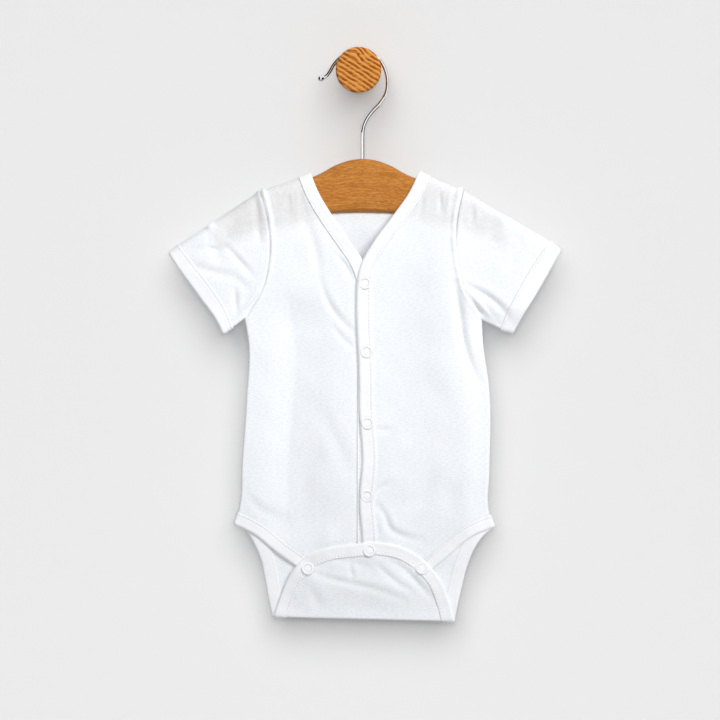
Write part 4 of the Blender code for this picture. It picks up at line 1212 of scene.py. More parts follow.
def stitches(name, line, up, across, pitch, slant=0.0, thick=1.0):
    """A row of short raised threads along a line in space, with the needle's holes between them as small
    fans of painted shadow.
    """
    along = lengths(line)
    count = int(along[-1] / pitch)
    space = along[-1] / count
    middle = (np.arange(count) + 0.5) * space
    at, out, side = (sampled(values, middle, along) for values in (line, up, across))
    out = unit(out)
    way = unit(np.cross(side, out))
    way = way * math.cos(slant) + np.cross(out, way) * math.sin(slant)
    basis = np.stack([way, np.cross(out, way), out], axis=1)
    threads, faces = copies(*thread_shape(pitch, thick), at, basis)
    dots, holes = copies(*hole_shape(thick), sampled(line, middle - space / 2, along), basis)
    mesh = bpy.data.meshes.new(name)
    points = np.vstack([threads, dots]) * MM
    mesh.from_pydata(points.tolist(), [], faces.tolist() + (holes + len(threads)).tolist())
    mesh.shade_smooth()
    made = piece(name, mesh, [THREAD_FINISH, HOLE_SHADE_FINISH], "binding")
    mesh.polygons.foreach_set("material_index", [0] * len(faces) + [1] * len(holes))
    return made


def edge_sheet(edge, stations, surface, stitch_in=STITCH_IN):
    """The function that gives a binding's line in space for each row of its section."""

    def at(row):
        reach = reach_of(row, np.abs(edge[1]), stitch_in)
        return surface(pick(inside(edge, reach), stations))

    return at


def neck_band():
    """One strip: up the under placket, round the neck and down the top placket."""
    edges = {s: neck_edge(s) for s in SIGN}
    fronts = {s: places(edges[s][0], PACE, TOP_STEPS) for s in SIGN}
    left_in = STITCH_IN + (PLACKET_STITCH_IN - STITCH_IN) * rise(edges["left"][0][:, 1], *PLACKET_EASE)
    under = edge_sheet(edges["right"], fronts["right"], lambda p: front(p, "under"))
    over = edge_sheet(edges["left"], fronts["left"], lambda p: front(p, "top"), left_in)
    nape_edge = back_neck_edge()
    nape = edge_sheet(nape_edge, places(nape_edge[0], PACE, TOP_STEPS, TOP_STEPS), back)

    def at(row):
        return np.vstack([under(row)[::-1], nape(row)[1:-1], over(row)])

    return binding("neck_and_placket_band", at, -1.0, "neck_binding", (PLACKET_PITCH,))


def front_leg_band(side):
    """The band along one front leg edge and on along the hem to the placket's edge."""
    edge = leg_edge(side)
    at = edge_sheet(edge, places(edge[0], PACE, SIDE_STEPS), lambda p: front(p, LAYER_OF[side]))
    name, node = f"{side}_front_leg_band", f"leg_binding_front_{side}"
    return binding(name, at, SIGN[side], node, (STITCH_PITCH,), (FORWARD, None))


def back_leg_band():
    """The band down one back leg edge, round the flap and up the other leg edge."""
    edge = back_edge()
    at = edge_sheet(edge, places(edge[0], PACE, SIDE_STEPS, SIDE_STEPS), back)
    stitch = (STITCH_PITCH, FLAP_STITCH_SLANT, FLAP_STITCH_THICK)
    return binding("back_leg_and_flap_band", at, 1.0, "leg_binding_back", stitch, (BACKWARD, FORWARD))


def cuff_band(side):
    """A folded band round the end of a sleeve, joined at the underarm."""
    seam = spread(spline(CUFF_SEAM[side]), PACE, TOP_STEPS, SIDE_STEPS)
    middle = len(seam) - len(TOP_STEPS) - len(SIDE_STEPS) + 1
    free = spread_count(spline(CUFF_EDGE[side]), middle, TOP_STEPS, SIDE_STEPS)
    width = np.linalg.norm(seam - free, axis=1, keepdims=True)

    def at(row):
        flat = free + unit(seam - free) * reach_of(row, width, STITCH_IN)
        return round_sleeve(flat[:, None])[:, 0]

    node = f"cuff_binding_{side}"
    return binding(f"{side}_cuff", at, -SIGN[side], node, (STITCH_PITCH,), (FORWARD, FORWARD))


# ---------------- snaps


def place(made, centre, normal):
    """Puts a turned piece at a point in millimetres, its +Z along a direction."""
    turn = Vector((0.0, 0.0, 1.0)).rotation_difference(Vector(normal)).to_matrix().to_4x4()
    made.data.transform(Matrix.Translation(Vector(centre) * MM) @ turn)


def layer_point(x, z, layer):
    """A point on one layer of the front and the layer's outward normal."""
    here, right, up = front([(x, z), (x + SNAP_REACH, z), (x, z + SNAP_REACH)], layer)
    return here, unit(np.cross(right - here, up - here))


SNAP_REACH = 2.0  # how far from a snap's centre its cloth's slope is taken
RING_SEGMENTS = 60
DOME_RINGS = 6
DOME_SHARES = [ring / DOME_RINGS for ring in range(1, DOME_RINGS + 1)]
DOME_SIDES = 24
DOME_UP = 0.3  # how far the cloth bulges through a ring
DOME_PAST = 0.3  # how far it reaches under the ring
DOME_FOOT = 0.3  # and how far its edge lies below it


def turned(profile, sides):
    """Rings of points about +Z, from rows of radius and height."""
    angles = circle(sides)
    x, y = np.cos(angles), np.sin(angles)
    return np.array([np.stack([radius * x, radius * y, np.full(sides, up)], 1) for radius, up in profile])


def snap_ring(number, x, z, layer, turn):
    """An open ring cap, notched on its inside, with the cloth bulging through it."""
    section = np.array(RING_SECTION[1:])
    angles = circle(RING_SEGMENTS)[:, None]
    notch = np.maximum(np.cos(RING_NOTCHES * (angles - math.radians(turn))), 0.0) ** NOTCH_SHARP
    notched = rise(section[:, 0], NOTCH_OUT, RING_INNER) * (section[:, 1] > NOTCH_UP)
    radius = section[:, 0] + NOTCH_DEEP * notch * notched
    up = np.broadcast_to(section[:, 1], radius.shape)
    points = np.stack([radius * np.cos(angles), radius * np.sin(angles), up], axis=-1).reshape(-1, 3)
    sides = len(section)
    faces = grid_faces(RING_SEGMENTS + 1, sides, ring=True) % len(points)
    dome, dome_faces = dome_shape(len(points))
    mesh = mesh_from(f"snap_ring_{number}", np.vstack([points, dome]), faces.tolist() + dome_faces)
    finishes = [SNAP_FINISH, BINDING_FINISH, RIM_SHADE_FINISH]
    made = piece(f"snap_ring_{number}", mesh, finishes, "snap", f"snap_cap_{number}")
    # the rim rows get the painted shade of the ring's edges
    kinds = [2 if face % sides in SHADED_RIM_ROWS else 0 for face in range(len(faces))] + [1] * len(dome_faces)
    mesh.polygons.foreach_set("material_index", kinds)
    here, normal = layer_point(x, z, layer)
    place(made, here + normal * RING_LIFT, normal)
    return made


STUD_SECTION = [
    ("radius", "up"),
    (4.3, -0.35), (4.45, -0.1), (4.35, 0.15), (3.6, 0.25), (2.4, 0.28), (2.0, 0.5), (1.5, 0.62), (0.5, 0.64),
]


def snap_stud(number, x, z, layer):
    """The hidden half of a snap between its two layers: a flat disc with a knob."""
    mesh = mesh_from(f"stud_{number}", *loft(turned(STUD_SECTION[1:], RING_SEGMENTS)))
    made = piece(f"snap_stud_{number}_look", mesh, [SNAP_FINISH], "snap", f"snap_stud_{number}")
    here, normal = layer_point(x, z, layer)
    place(made, here - normal * LAYER / 2, -normal)
    return made


def dome_shape(start):
    """A low dome of cloth with a foot below the ring, its points and faces numbered from start."""
    profile = [((RING_INNER + DOME_PAST) * share, DOME_UP * (1.0 - share**3)) for share in DOME_SHARES]
    profile[-1] = (profile[-1][0], profile[-1][1] - DOME_FOOT)
    points = np.vstack([[(0.0, 0.0, DOME_UP)], turned(profile, DOME_SIDES).reshape(-1, 3)])
    fan = [(start, start + 1 + i, start + 1 + (i + 1) % DOME_SIDES) for i in range(DOME_SIDES)]
    return points, fan + (grid_faces(DOME_RINGS, DOME_SIDES, ring=True) + start + 1).tolist()


# ---------------- hanger, hook and peg

BAR_CORNER_STEPS = 6
BAR_PACE = 3.0
TIP_STEPS = 10
BORE_SIDES = 32


def bar_ring(x, top, bottom, half_thick):
    """A section of the hanger bar at x, with round corners."""
    radius = min(HANGER_ROUND, half_thick * ROUND_OF_THICK, (top - bottom) * ROUND_OF_HEIGHT)
    points = []
    for number, (y_side, z_side) in enumerate([(1, 1), (1, -1), (-1, -1), (-1, 1)]):
        y = y_side * (half_thick - radius)
        z = (top if z_side > 0 else bottom) - z_side * radius
        for step in range(BAR_CORNER_STEPS + 1):
            angle = math.radians(90 - 90 * number - 90 * step / BAR_CORNER_STEPS)
            points.append((x, MID_Y + y + radius * math.cos(angle), z + radius * math.sin(angle)))
    return points


def loft(rings):
    """Points and faces of a solid through rings of points, capped at both ends."""
    count, sides = rings.shape[:2]
    faces = grid_faces(count, sides, ring=True).tolist()
    faces.append(list(range(sides)))
    faces.append([(count - 1) * sides + c for c in reversed(range(sides))])
    return rings.reshape(-1, 3), faces


def hanger():
    """The wooden bar, bored on top for the hook."""
    rows = spread(spline(BAR_ROWS[1:]), BAR_PACE)
    out, top, bottom = rows[-1]
    middle, half = (top + bottom) / 2, (top - bottom) / 2
    stations = [(o, t, b, HANGER_THICK / 2) for o, t, b in rows]
    for turn in np.radians(np.linspace(*BAR_TIP_TURNS, TIP_STEPS)):
        share = math.cos(turn)
        past = BAR_TIP * math.sin(turn)
        low = middle - past * BAR_TIP_SLOPE
        stations.append((out + past, low + half * share, low - half * share, HANGER_THICK / 2 * share))
    left = [bar_ring(HANGER_X - o, t, b, h) for o, t, b, h in reversed(stations)]
    right = [bar_ring(HANGER_X + o, t, b, h) for o, t, b, h in stations[1:]]
    mesh = mesh_from("hanger", *loft(np.array(left + right)))
    made = piece("hanger", mesh, [HANGER_FINISH], "hanger_wood", "hanger_bar")
    bore(made)
    return made


def bore(bar):
    """Cuts the hook's hole into the bar's mesh."""
    wide = WIRE / 2 + HOLE_GAP
    profile = [(wide, BAR_TOP - HOLE_DEEP), (wide, BAR_TOP + HOLE_CUT_ABOVE)]
    rings = turned(profile, BORE_SIDES) + (HANGER_X, MID_Y, 0.0)
    cutter = linked("bore_cutter", mesh_from("bore_cutter", *loft(rings)))
    cut = bar.modifiers.new("Bore", "BOOLEAN")
    cut.operation = "DIFFERENCE"
    cut.object = cutter
    bpy.context.view_layer.update()
    done = bpy.data.meshes.new_from_object(bar.evaluated_get(bpy.context.evaluated_depsgraph_get()))
    bar.modifiers.clear()
    bar.data = done
    bpy.data.objects.remove(cutter)


HOOK_SIDES = 24
HOOK_PACE = 1.0
HOOK_LINE_STEP = 0.5


def hook():
    """The wire hook, from its foot in the bar over the peg's neck to its bead."""
    foot = [(HANGER_X, BAR_TOP - WIRE_IN_BAR), (HANGER_X, BAR_TOP)]
    line = spline(foot + HOOK_ROUTE, HOOK_LINE_STEP)
    along = lengths(line)
    bead = np.array(BEAD[1:])
    wire = steps(along[-1] - bead[0, 0], HOOK_PACE)[:-1]
    where = np.concatenate([wire, along[-1] - bead[:, 0]])
    radius = WIRE / 2 * np.concatenate([np.ones(len(wire)), bead[:, 1]])[:, None]
    at = sampled(line, where, along)
    way = sampled(unit(np.gradient(line, axis=0)), where, along)
    aside, up = radius * np.cos(circle(HOOK_SIDES)), radius * np.sin(circle(HOOK_SIDES))
    rings = np.stack([at[:, :1] - way[:, 1:] * aside, MID_Y + up, at[:, 1:] + way[:, :1] * aside], axis=-1)
    return piece("hook", mesh_from("hook", *loft(rings)), [CHROME_FINISH], "hook_chrome", "hanger_hook")


PEG_SEGMENTS = 96
NECK_ROWS = 8
NECK_ROWS_FROM = 4.0
FILLET_TURNS = (0.5, 1.0, 1.5)  # radians
BACK_ROWS = 4
BACK_ROWS_FROM = 1.4  # past the neck
BEVEL_TURNS = (25.0, 50.0, 75.0, 90.0)
RIM_ROWS_AWAY = (3.0, 1.0)  # from the knob's back, and from its round
RIM_COUNT = 6
ROUND_ROWS = 9
FACE_ROWS = 9
FACE_ROWS_IN = 2.0  # from the round to the first row
FACE_LAST = 1.5  # radius of the last row


def peg():
    """The peg: a plain neck from the wall and a round knob on it, turned from one piece."""
    start, face = -KNOB_BACK_Y, -KNOB_FRONT_Y
    profile = [(NECK_RADIUS - PEG_FOOT_BEVEL, 0.0), (NECK_RADIUS, PEG_FOOT_BEVEL)]
    profile += [(NECK_RADIUS, out) for out in np.linspace(NECK_ROWS_FROM, start - PEG_FILLET, NECK_ROWS)]
    for turn in FILLET_TURNS:
        wider, short = PEG_FILLET * (1 - math.cos(turn)), PEG_FILLET * (1 - math.sin(turn))
        profile.append((NECK_RADIUS + wider, start - short))
    ends = NECK_RADIUS + BACK_ROWS_FROM, KNOB_RADIUS - KNOB_BEVEL
    profile += [(radius, start) for radius in np.linspace(*ends, BACK_ROWS)]
    for turn in np.radians(BEVEL_TURNS):
        inset, past = KNOB_BEVEL * (1 - math.sin(turn)), KNOB_BEVEL * (1 - math.cos(turn))
        profile.append((KNOB_RADIUS - inset, start + past))
    ends = start + RIM_ROWS_AWAY[0], face - KNOB_ROUND - RIM_ROWS_AWAY[1]
    profile += [(KNOB_RADIUS, out) for out in np.linspace(*ends, RIM_COUNT)]
    for turn in np.radians(np.linspace(0.0, 90.0, ROUND_ROWS)):
        inset, short = KNOB_ROUND * (1.0 - math.cos(turn)), KNOB_ROUND * (1.0 - math.sin(turn))
        profile.append((KNOB_RADIUS - inset, face - short))
    for radius in np.linspace(KNOB_RADIUS - KNOB_ROUND - FACE_ROWS_IN, FACE_LAST, FACE_ROWS):
        profile.append((radius, face + KNOB_CROWN * (1.0 - (radius / KNOB_RADIUS) ** 2)))
    x, y, out = np.moveaxis(turned(profile, PEG_SEGMENTS), -1, 0)
    mesh = mesh_from("peg", *loft(np.stack([x, -out, y], axis=-1)))
    return piece("peg", mesh, [PEG_FINISH], "peg_wood", "wall_peg")


# ---------------- materials


class Finish:
    """A Principled material and short ways to add nodes to it."""

    def __init__(self, name, **values):
        self.material = bpy.data.materials.new(name)
        self.material.use_nodes = True
        self.tree = self.material.node_tree
        self.shader = self.tree.nodes["Principled BSDF"]
        for key, value in values.items():
            self.shader.inputs[key.replace("_", " ")].default_value = value

    def node(self, kind, settings=(), **inputs):
        """A node with its settings, and its inputs given as values or as other nodes' outputs.

        An input's name of i and a number stands for that number in the node's list of inputs.
        """
        made = self.tree.nodes.new(kind)
        for key, value in dict(settings).items():
            setattr(made, key, value)
        for key, value in inputs.items():
            self.set(made.inputs[int(key[1:]) if key[1:].isdigit() else key], value)
        return made

    def set(self, socket, value):
        if isinstance(value, bpy.types.NodeSocket):
            self.tree.links.new(value, socket)
        else:
            socket.default_value = value

    def worn(self, colour, roughness=None, normal=None):
        """The material, after its shader has been given these."""
        for name, value in (("Base Color", colour), ("Roughness", roughness), ("Normal", normal)):
            if value is not None:
                self.set(self.shader.inputs[name], value)
        return self.material

    def blended(self, share, first, second):
        """The material, after its surface has been made a mix of two shaders."""
        mixed = self.node("ShaderNodeMixShader", i0=share, i1=first, i2=second)
        self.set(self.tree.nodes["Material Output"].inputs["Surface"], mixed.outputs[0])
        return self.material

    def clear(self):
        return self.node("ShaderNodeBsdfTransparent").outputs[0]

    def math(self, operation, first, second=0.0, third=0.0):
        made = self.node("ShaderNodeMath", {"operation": operation}, i0=first, i1=second, i2=third)
        return made.outputs[0]

    def scaled(self, value, times, plus):
        return self.math("MULTIPLY_ADD", value, times, plus)

    def noise(self, vector, scale, detail=2.0, roughness=0.5):
        inputs = {"Vector": vector, "Scale": scale, "Detail": detail, "Roughness": roughness}
        return self.node("ShaderNodeTexNoise", **inputs).outputs["Fac"]

    def stretched(self, vector, scale, turn=(0.0, 0.0, 0.0)):
        return self.node("ShaderNodeMapping", Vector=vector, Scale=scale, Rotation=turn).outputs["Vector"]

    def streaks(self, vector, scale, detail, roughness=0.5, turn=(0.0, 0.0, 0.0)):
        """Noise whose scale differs in the three directions."""
        return self.noise(self.stretched(vector, scale, turn), 1.0, detail, roughness)

    def ramp(self, value, *stops):
        """Colours, or greys given as one number, at places between 0 and 1."""
        made = self.node("ShaderNodeValToRGB", Fac=value)
        ramp = made.color_ramp
        while len(ramp.elements) < len(stops):
            ramp.elements.new(0.5)
        for element, (position, colour) in zip(ramp.elements, stops):
            element.position = position
            element.color = (*np.broadcast_to(colour, 3), 1.0)
        return made.outputs["Color"]

    def shades(self, value, dark, light):
        """Two colours that a soft noise mixes."""
        return self.ramp(value, (0.3, dark), (0.7, light))

    def mix(self, share, first, second, blend="MIX"):
        made = self.node("ShaderNodeMix", {"data_type": "RGBA", "blend_type": blend}, i0=share, i6=first)
        self.set(made.inputs[7], (*second, 1.0) if isinstance(second, tuple) else second)
        return made.outputs[2]

    def bump(self, height, depth, strength):
        made = self.node("ShaderNodeBump", Height=height, Strength=strength, Distance=depth * MM)
        return made.outputs["Normal"]

    def place(self):
        """Millimetres in the part's frame."""
        where = self.node("ShaderNodeTexCoord").outputs["Object"]
        return self.stretched(where, (1 / MM, 1 / MM, 1 / MM))

    def axes(self, vector):
        return self.node("ShaderNodeSeparateXYZ", Vector=vector).outputs


WALE = 0.75  # width of a column of knit stitches
BINDING_WALE = 0.9
COURSE = 0.6  # height of a row of them
ALONG_COURSE = (0.34, 1.0, 1.0)  # the knit's slubs lie along its rows
SPECK_STRETCH = (0.4, 1.0, 1.0)
SPECK = (0.90, 0.865, 0.86)  # faint warm specks in the cotton


def knit(name, colour, shade, wale):
    """White cotton jersey: columns of small V-shaped loops, a faint mottle and a soft nap, with painted
    shade in the loops' low places and where the hanger shows through.
    """
    finish = Finish(name, Roughness=0.92, Sheen_Weight=0.12, Sheen_Roughness=0.5, Specular_IOR_Level=0.2)
    uv = finish.node("ShaderNodeUVMap", {"uv_map": "cut"}).outputs["UV"]
    cloth = finish.stretched(uv, (1 / UV_MM, 1 / UV_MM, 1.0))
    at = finish.axes(cloth)
    wobble = finish.noise(cloth, scale=0.35, detail=2.0)
    across = finish.math("DIVIDE", finish.scaled(wobble, times=0.5, plus=at["X"]), wale)
    loop = finish.math("PINGPONG", across, 0.5)
    vee = finish.math("ADD", finish.math("DIVIDE", at["Y"], COURSE), loop)
    height = finish.scaled(finish.math("PINGPONG", vee, 0.5), times=0.8, plus=loop)
    fuzz = finish.noise(cloth, scale=1.6, detail=4.0, roughness=0.65)
    height = finish.scaled(fuzz, times=0.9, plus=height)
    mottle = finish.noise(finish.stretched(cloth, ALONG_COURSE), scale=0.95, detail=3.0, roughness=0.7)
    base = finish.ramp(mottle, (0.42, shade), (0.555, colour))
    speck = finish.noise(finish.stretched(cloth, SPECK_STRETCH), scale=1.2, detail=2.0, roughness=0.6)
    warm = finish.math("MULTIPLY", finish.ramp(speck, (0.60, 0.0), (0.70, 1.0)), 0.5)
    base = finish.mix(warm, base, SPECK)
    # painted shade: the knit's low places, where its bump height is low, are made up to 4.5% darker
    pores = finish.ramp(height, (0.1, 0.955), (0.75, 1.0))
    base = finish.mix(1.0, base, pores, "MULTIPLY")
    # painted shade where the hanger lies behind the cloth: its colour is multiplied towards a warm grey,
    # unevenly
    wood = finish.node("ShaderNodeAttribute", {"attribute_name": "painted_wood_shade"}).outputs["Fac"]
    cloud = finish.noise(finish.place(), scale=0.12, detail=4.0, roughness=0.65)
    uneven = finish.scaled(cloud, times=1.1, plus=0.35)
    base = finish.mix(finish.math("MULTIPLY", wood, uneven), base, WOOD_SHADE_COLOUR, "MULTIPLY")
    return finish.worn(base, normal=finish.bump(height, depth=0.12, strength=0.45))


THREAD_SLANT = (0.3, 0.0, 0.6)  # radians


def thread():
    """White sewing thread with a slanting twist."""
    finish = Finish("thread", Roughness=0.7, Sheen_Weight=0.1)
    slanted = finish.stretched(finish.place(), (1.0, 1.0, 1.0), THREAD_SLANT)
    twist = finish.noise(slanted, scale=2.5, detail=2.0)
    colour = finish.shades(twist, (0.84, 0.85, 0.88), (0.93, 0.93, 0.94))
    return finish.worn(colour, normal=finish.bump(twist, depth=0.08, strength=0.4))


def needle_hole_shade():
    """The small shadow in a needle's hole."""
    finish = Finish("needle_hole_shade", Roughness=0.95)
    cloud = finish.noise(finish.place(), scale=3.0, detail=2.0)
    return finish.worn(finish.shades(cloud, (0.40, 0.41, 0.45), (0.58, 0.59, 0.62)))


def enamel():
    """White enamel of the snap rings, with faint wear."""
    finish = Finish("snap_enamel", Coat_Weight=0.3, Coat_Roughness=0.2)
    cloud = finish.noise(finish.place(), scale=0.9, detail=3.0)
    colour = finish.shades(cloud, (0.86, 0.875, 0.90), (0.91, 0.92, 0.94))
    rough = finish.scaled(cloud, times=0.2, plus=0.25)
    return finish.worn(colour, rough, finish.bump(cloud, depth=0.05, strength=0.15))


def snap_rim_shade():
    """Painted shade along the edges of a snap ring, where it bites into the cloth: a grey that stands for
    the thin line of shade there.
    """
    finish = Finish("snap_rim_shade", Roughness=0.6)
    cloud = finish.noise(finish.place(), scale=1.4, detail=2.0)
    return finish.worn(finish.shades(cloud, (0.58, 0.59, 0.62), (0.66, 0.67, 0.70)))


def chrome():
    """Polished chrome with faint streaks along the wire."""
    finish = Finish("hook_chrome", Metallic=1.0)
    streak = finish.streaks(finish.place(), (1.2, 1.2, 0.25), detail=3.0)
    colour = finish.shades(streak, (0.74, 0.74, 0.75), (0.82, 0.82, 0.83))
    return finish.worn(colour, finish.scaled(streak, times=0.06, plus=0.03))


BAR_BOW = 14.0  # how far the bar's grain wanders up and down
FLECK = (0.27, 0.080, 0.006)


def hanger_wood():
    """Amber beech: soft long grain and many short dark flecks, which lie along the bar."""
    finish = Finish("hanger_wood", Specular_IOR_Level=0.3)
    where = finish.place()
    at = finish.axes(where)
    bow = finish.streaks(where, (0.02, 0.02, 0.03), detail=2.0)
    lifted = finish.scaled(bow, times=BAR_BOW, plus=at["Z"])
    bowed = finish.node("ShaderNodeCombineXYZ", X=at["X"], Y=at["Y"], Z=lifted).outputs[0]
    grain = finish.streaks(bowed, (0.05, 0.4, 0.9), detail=4.0, roughness=0.65)
    fine = finish.streaks(bowed, (0.12, 1.2, 2.4), detail=3.0, roughness=0.6)
    fleck = finish.streaks(bowed, (0.32, 1.1, 2.0), detail=1.0, roughness=0.4)
    base = finish.ramp(
        grain,
        (0.3, (0.42, 0.148, 0.022)), (0.5, (0.535, 0.213, 0.041)), (0.7, (0.64, 0.274, 0.062)),
    )
    base = finish.mix(1.0, base, finish.ramp(fine, (0.35, 0.76), (0.62, 1.04)), "MULTIPLY")
    spots = finish.ramp(fleck, (0.36, 1.0), (0.47, 0.0))
    base = finish.mix(finish.math("MULTIPLY", spots, 0.6), base, FLECK)
    rough = finish.scaled(fine, times=0.2, plus=0.38)
    height = finish.scaled(spots, times=-0.8, plus=fine)
    return finish.worn(base, rough, finish.bump(height, depth=0.12, strength=0.35))


GRAIN_FALL = math.radians(33.0)  # how steeply the peg's grain falls to the right
GRAIN_PITCH = 3.7
SWIRL = (-1.0, 15.0)  # centre of the small swirl in the peg's grain, x and z
SWIRL_SHARP = 0.03
SWIRL_PUSH = 3.4  # millimetres that it pushes the lines aside
SLOW_PUSH = 3.3  # and that the lines' slow and quick waves do
QUICK_PUSH = 0.7
GRAIN_LEAN = 0.04  # millimetres aside for each one into the wood


def peg_wood():
    """Flat sawn wood with strong dark, wavy lines that fall to the right, and a small swirl near the top."""
    finish = Finish("peg_wood", Specular_IOR_Level=0.25)
    where = finish.place()
    x, y, z = (finish.axes(where)[axis] for axis in "XYZ")

    def streaks(scale, detail, roughness):
        return finish.streaks(where, scale, detail, roughness, (0.0, GRAIN_FALL, 0.0))

    def square(value, middle):
        away = finish.math("SUBTRACT", value, middle)
        return finish.math("MULTIPLY", away, away)

    far = finish.math("ADD", square(x, SWIRL[0]), square(z, SWIRL[1]))
    swirl = finish.math("POWER", math.e, finish.math("MULTIPLY", far, -SWIRL_SHARP))
    field = finish.math("MULTIPLY", z, math.cos(GRAIN_FALL))
    for value, push in (
        (x, math.sin(GRAIN_FALL)),
        (streaks((0.05, 0.02, 0.09), detail=3.0, roughness=0.55), SLOW_PUSH),
        (streaks((0.18, 0.05, 0.45), detail=3.0, roughness=0.6), QUICK_PUSH),
        (swirl, -SWIRL_PUSH),
        (y, GRAIN_LEAN),
    ):
        field = finish.scaled(value, times=push, plus=field)
    line = finish.math("FRACT", finish.math("DIVIDE", field, GRAIN_PITCH))
    shown = finish.ramp(streaks((0.10, 0.05, 0.4), detail=2.0, roughness=0.5), (0.32, 0.35), (0.55, 1.0))
    rings = finish.ramp(line, (0.0, 0.7), (0.12, 1.0), (0.45, 0.8), (0.66, 0.2), (0.92, 0.0), (1.0, 0.7))
    grain = finish.ramp(
        finish.math("MULTIPLY", rings, shown),
        (0.0, (0.74, 0.345, 0.095)), (0.35, (0.58, 0.232, 0.045)), (0.75, (0.35, 0.100, 0.008)),
        (1.0, (0.25, 0.058, 0.002)),
    )
    pores = streaks((0.5, 0.2, 2.6), detail=3.0, roughness=0.6)
    grain = finish.mix(1.0, grain, finish.ramp(pores, (0.32, 0.80), (0.6, 1.0)), "MULTIPLY")
    rough = finish.scaled(pores, times=0.2, plus=0.42)
    return finish.worn(grain, rough, finish.bump(line, depth=0.35, strength=0.3))


def matt(name, colour):
    """A plain surface for the stage."""
    return Finish(name, Base_Color=(*colour, 1.0), Roughness=1.0, Specular_IOR_Level=0.0)


def one_sided(name, colour):
    """The same, seen only from its front."""
    finish = matt(name, colour)
    behind_it = finish.node("ShaderNodeNewGeometry").outputs["Backfacing"]
    return finish.blended(behind_it, finish.shader.outputs[0], finish.clear())


JERSEY_FINISH = knit("jersey", (0.91, 0.929, 0.954), (0.831, 0.861, 0.905), WALE)
BINDING_FINISH = knit("binding", (0.92, 0.935, 0.955), (0.89, 0.91, 0.94), BINDING_WALE)
THREAD_FINISH = thread()
HOLE_SHADE_FINISH = needle_hole_shade()
SNAP_FINISH = enamel()
RIM_SHADE_FINISH = snap_rim_shade()
HANGER_FINISH = hanger_wood()
PEG_FINISH = peg_wood()
CHROME_FINISH = chrome()

# ---------------- stage, light and camera

WALL_COLOUR = (0.80, 0.80, 0.80)
WALL_BEHIND = 0.5  # from the peg's foot back to the wall's face
WALL_SIZE = 6000.0
FLOOR_Z = -1600.0

# Dark boards at both sides of the hook and the knob, which only show as reflections
FLAG_COLOUR = (0.02, 0.016, 0.012)
FLAGS = [
    ("name", "x", "near y", "far y", "low z", "high z"),
    ("left_flag", -75.0, -330.0, -5.0, -46.0, 120.0), ("right_flag", 1000.0, -750.0, -200.0, -600.0, 900.0),
    ("left_strip", -28.0, -36.0, -1.0, -78.0, -46.0), ("right_strip", 35.0, -36.0, -1.0, -78.0, -46.0),
    ("knob_left", -20.3, -53.5, -33.5, -14.0, 10.0), ("knob_right", 20.3, -53.5, -33.5, -22.0, 12.0),
]
NET = ((-50.0, -235.0, -550.0), (500.0, -235.0, -235.0))  # lowest and highest corner
NET_COLOUR = (0.8, 0.8, 0.8)
NET_HOLDS = 0.12  # share of the light that it holds back

# Brightness of the studio all round, what the chrome and the varnish reflect of it, and what the camera sees
AMBIENT = 0.235
REFLECTED = 1.25
BACKGROUND = 0.83

# Places and sizes of the lamps are in metres
SOFTBOXES = [
    ("name", "x", "y", "z", "size", "watts", "lights the wall", "casts shadows"),
    ("key_box", 2.8, -3.66, 1.95, 2.24, 160.0, False, True),
    ("top_box", 0.0, -0.72, 0.5, 0.5, 2.3, False, True),
    ("front_box", 0.0, -3.2, -0.05, 0.5, 12.5, True, True),
    ("fill_box", 0.0, -3.2, -0.05, 0.5, 8.5, True, False),
]
CHEST_Z = -190.0  # what the softboxes are aimed at
TOP_FROM = (0.0, -0.6, 0.33)
TOP_STRENGTH = 1.99
TOP_ANGLE = 60.0
CAMERA_AWAY = 9.0  # metres from the garment's middle
CAMERA_X = 1.3
CAMERA_Z = -249.0
PHOTO_WIDTH = 619.0  # what the photograph's frame takes in at the garment's middle
SENSOR = 36.0


def stage_plane(name, low, high, material):
    """A rectangle of the stage between its lowest and highest corner, which share their x, y or z."""
    corners = np.tile(low, (4, 1))
    first, second = np.flatnonzero(np.not_equal(low, high))
    corners[1:3, first] = high[first]
    corners[2:, second] = high[second]
    mesh = bpy.data.meshes.new(name)
    mesh.from_pydata((corners * MM).tolist(), [], [(0, 1, 2, 3)])
    mesh.materials.append(material)
    made = linked(name, mesh)
    return made


def hide(board, *kinds):
    """Leaves a board out of some kinds of rays."""
    for kind in kinds:
        setattr(board, f"visible_{kind}", False)


def stage():
    """A pale wall behind the peg and a pale floor well below."""
    half = WALL_SIZE / 2
    pale = one_sided("stage_paint", WALL_COLOUR)
    wall = stage_plane("wall", (-half, WALL_BEHIND, FLOOR_Z), (half, WALL_BEHIND, half), pale)
    floor = stage_plane("floor", (-half, -half, FLOOR_Z), (half, half, FLOOR_Z), pale)
    return wall, floor


def net():
    """A thin net in the key's lower beam, which only casts a faint shade on the garment's lower part."""
    veil = matt("net_cloth", NET_COLOUR)
    board = stage_plane("key_net", *NET, veil.blended(NET_HOLDS, veil.clear(), veil.shader.outputs[0]))
    hide(board, "camera", "diffuse", "glossy", "transmission")
    return board


def flags():
    dark = matt("flag_cloth", FLAG_COLOUR).material
    for name, x, near, far, low, high in FLAGS[1:]:
        board = stage_plane(name, (x, near, low), (x, far, high), dark)
        hide(board, "camera", "diffuse", "shadow", "transmission")


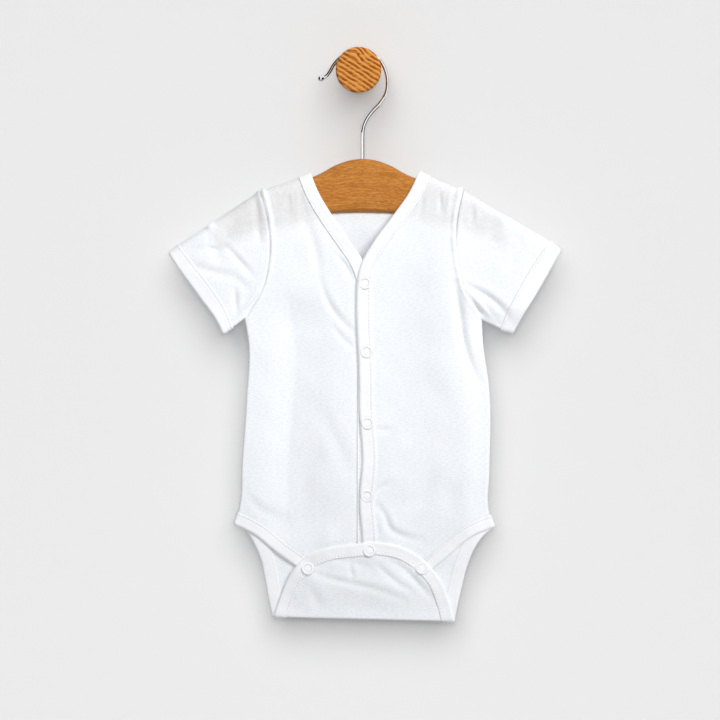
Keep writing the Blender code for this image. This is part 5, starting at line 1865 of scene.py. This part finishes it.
def world():
    """Even light all round, with its own brightness for shiny surfaces and for the camera."""
    studio = bpy.data.worlds.new("studio")
    bpy.context.scene.world = studio
    studio.use_nodes = True
    nodes, links = studio.node_tree.nodes, studio.node_tree.links
    nodes.remove(nodes["Background"])
    rays = nodes.new("ShaderNodeLightPath").outputs

    def even(strength):
        made = nodes.new("ShaderNodeBackground")
        made.inputs["Color"].default_value = (1.0, 1.0, 1.0, 1.0)
        made.inputs["Strength"].default_value = strength
        return made.outputs[0]

    def for_rays(kind, others, these):
        made = nodes.new("ShaderNodeMixShader")
        for socket, source in zip(made.inputs, (rays[kind], others, these)):
            links.new(source, socket)
        return made.outputs[0]

    unseen = for_rays("Is Glossy Ray", even(AMBIENT), even(REFLECTED))
    links.new(for_rays("Is Camera Ray", unseen, even(BACKGROUND)), nodes["World Output"].inputs["Surface"])


def lamp(name, kind, start, target, **values):
    data = bpy.data.lights.new(name, kind)
    for key, value in values.items():
        setattr(data, key, value)
    made = linked(name, data)
    made.location = Vector(start)
    made.rotation_euler = (Vector(target) - Vector(start)).to_track_quat("-Z", "Y").to_euler()
    return made


def linking(name, state, *members):
    """A collection that includes or excludes its members for a lamp."""
    made = bpy.data.collections.new(name)
    for member in members:
        made.objects.link(member)
    for member in made.collection_objects:
        member.light_linking.link_state = state
    return made


def lights(wall, floor, board):
    """The key and the top box light only the garment, and two front boxes the wall too.

    A wide sun from above lights only the wall. The net shades only the key.
    """
    room = linking("room", "INCLUDE", wall)
    others = linking("all_but_the_room", "EXCLUDE", wall, floor)
    without_net = linking("all_but_the_net", "EXCLUDE", board)
    middle = (0.0, MID_Y * MM, CHEST_Z * MM)
    for name, x, y, z, size, watts, on_wall, shadows in SOFTBOXES[1:]:
        box = lamp(name, "AREA", (x, y, z), middle, energy=watts, size=size, shape="DISK")
        box.data.use_shadow = shadows
        box.visible_glossy = False
        if not on_wall:
            box.light_linking.receiver_collection = others
        if name != "key_box":
            box.light_linking.blocker_collection = without_net
    top = lamp("top", "SUN", TOP_FROM, (0.0, 0.0, 0.0), energy=TOP_STRENGTH, angle=math.radians(TOP_ANGLE))
    top.light_linking.receiver_collection = room
    top.light_linking.blocker_collection = without_net


def camera():
    data = bpy.data.cameras.new("camera")
    data.sensor_width = SENSOR
    data.lens = SENSOR * CAMERA_AWAY / (PHOTO_WIDTH * MM)
    made = linked("camera", data)
    made.location = (CAMERA_X * MM, MID_Y * MM - CAMERA_AWAY, CAMERA_Z * MM)
    made.rotation_euler = (math.pi / 2, 0.0, 0.0)
    bpy.context.scene.camera = made
    bpy.context.scene.view_settings.view_transform = "Standard"


def main():
    camera()
    world()
    lights(*stage(), net())
    flags()
    for side in SIGN:
        front_panel(side)
    back_panel()
    for side in SIGN:
        sleeve(side)
        cuff_band(side)
    neck_band()
    for side in SIGN:
        front_leg_band(side)
    back_leg_band()
    for number, row in enumerate(SNAPS[1:], 1):
        snap_ring(number, *row)
        snap_stud(number, *row[:3])
    hanger()
    hook()
    peg()


main()
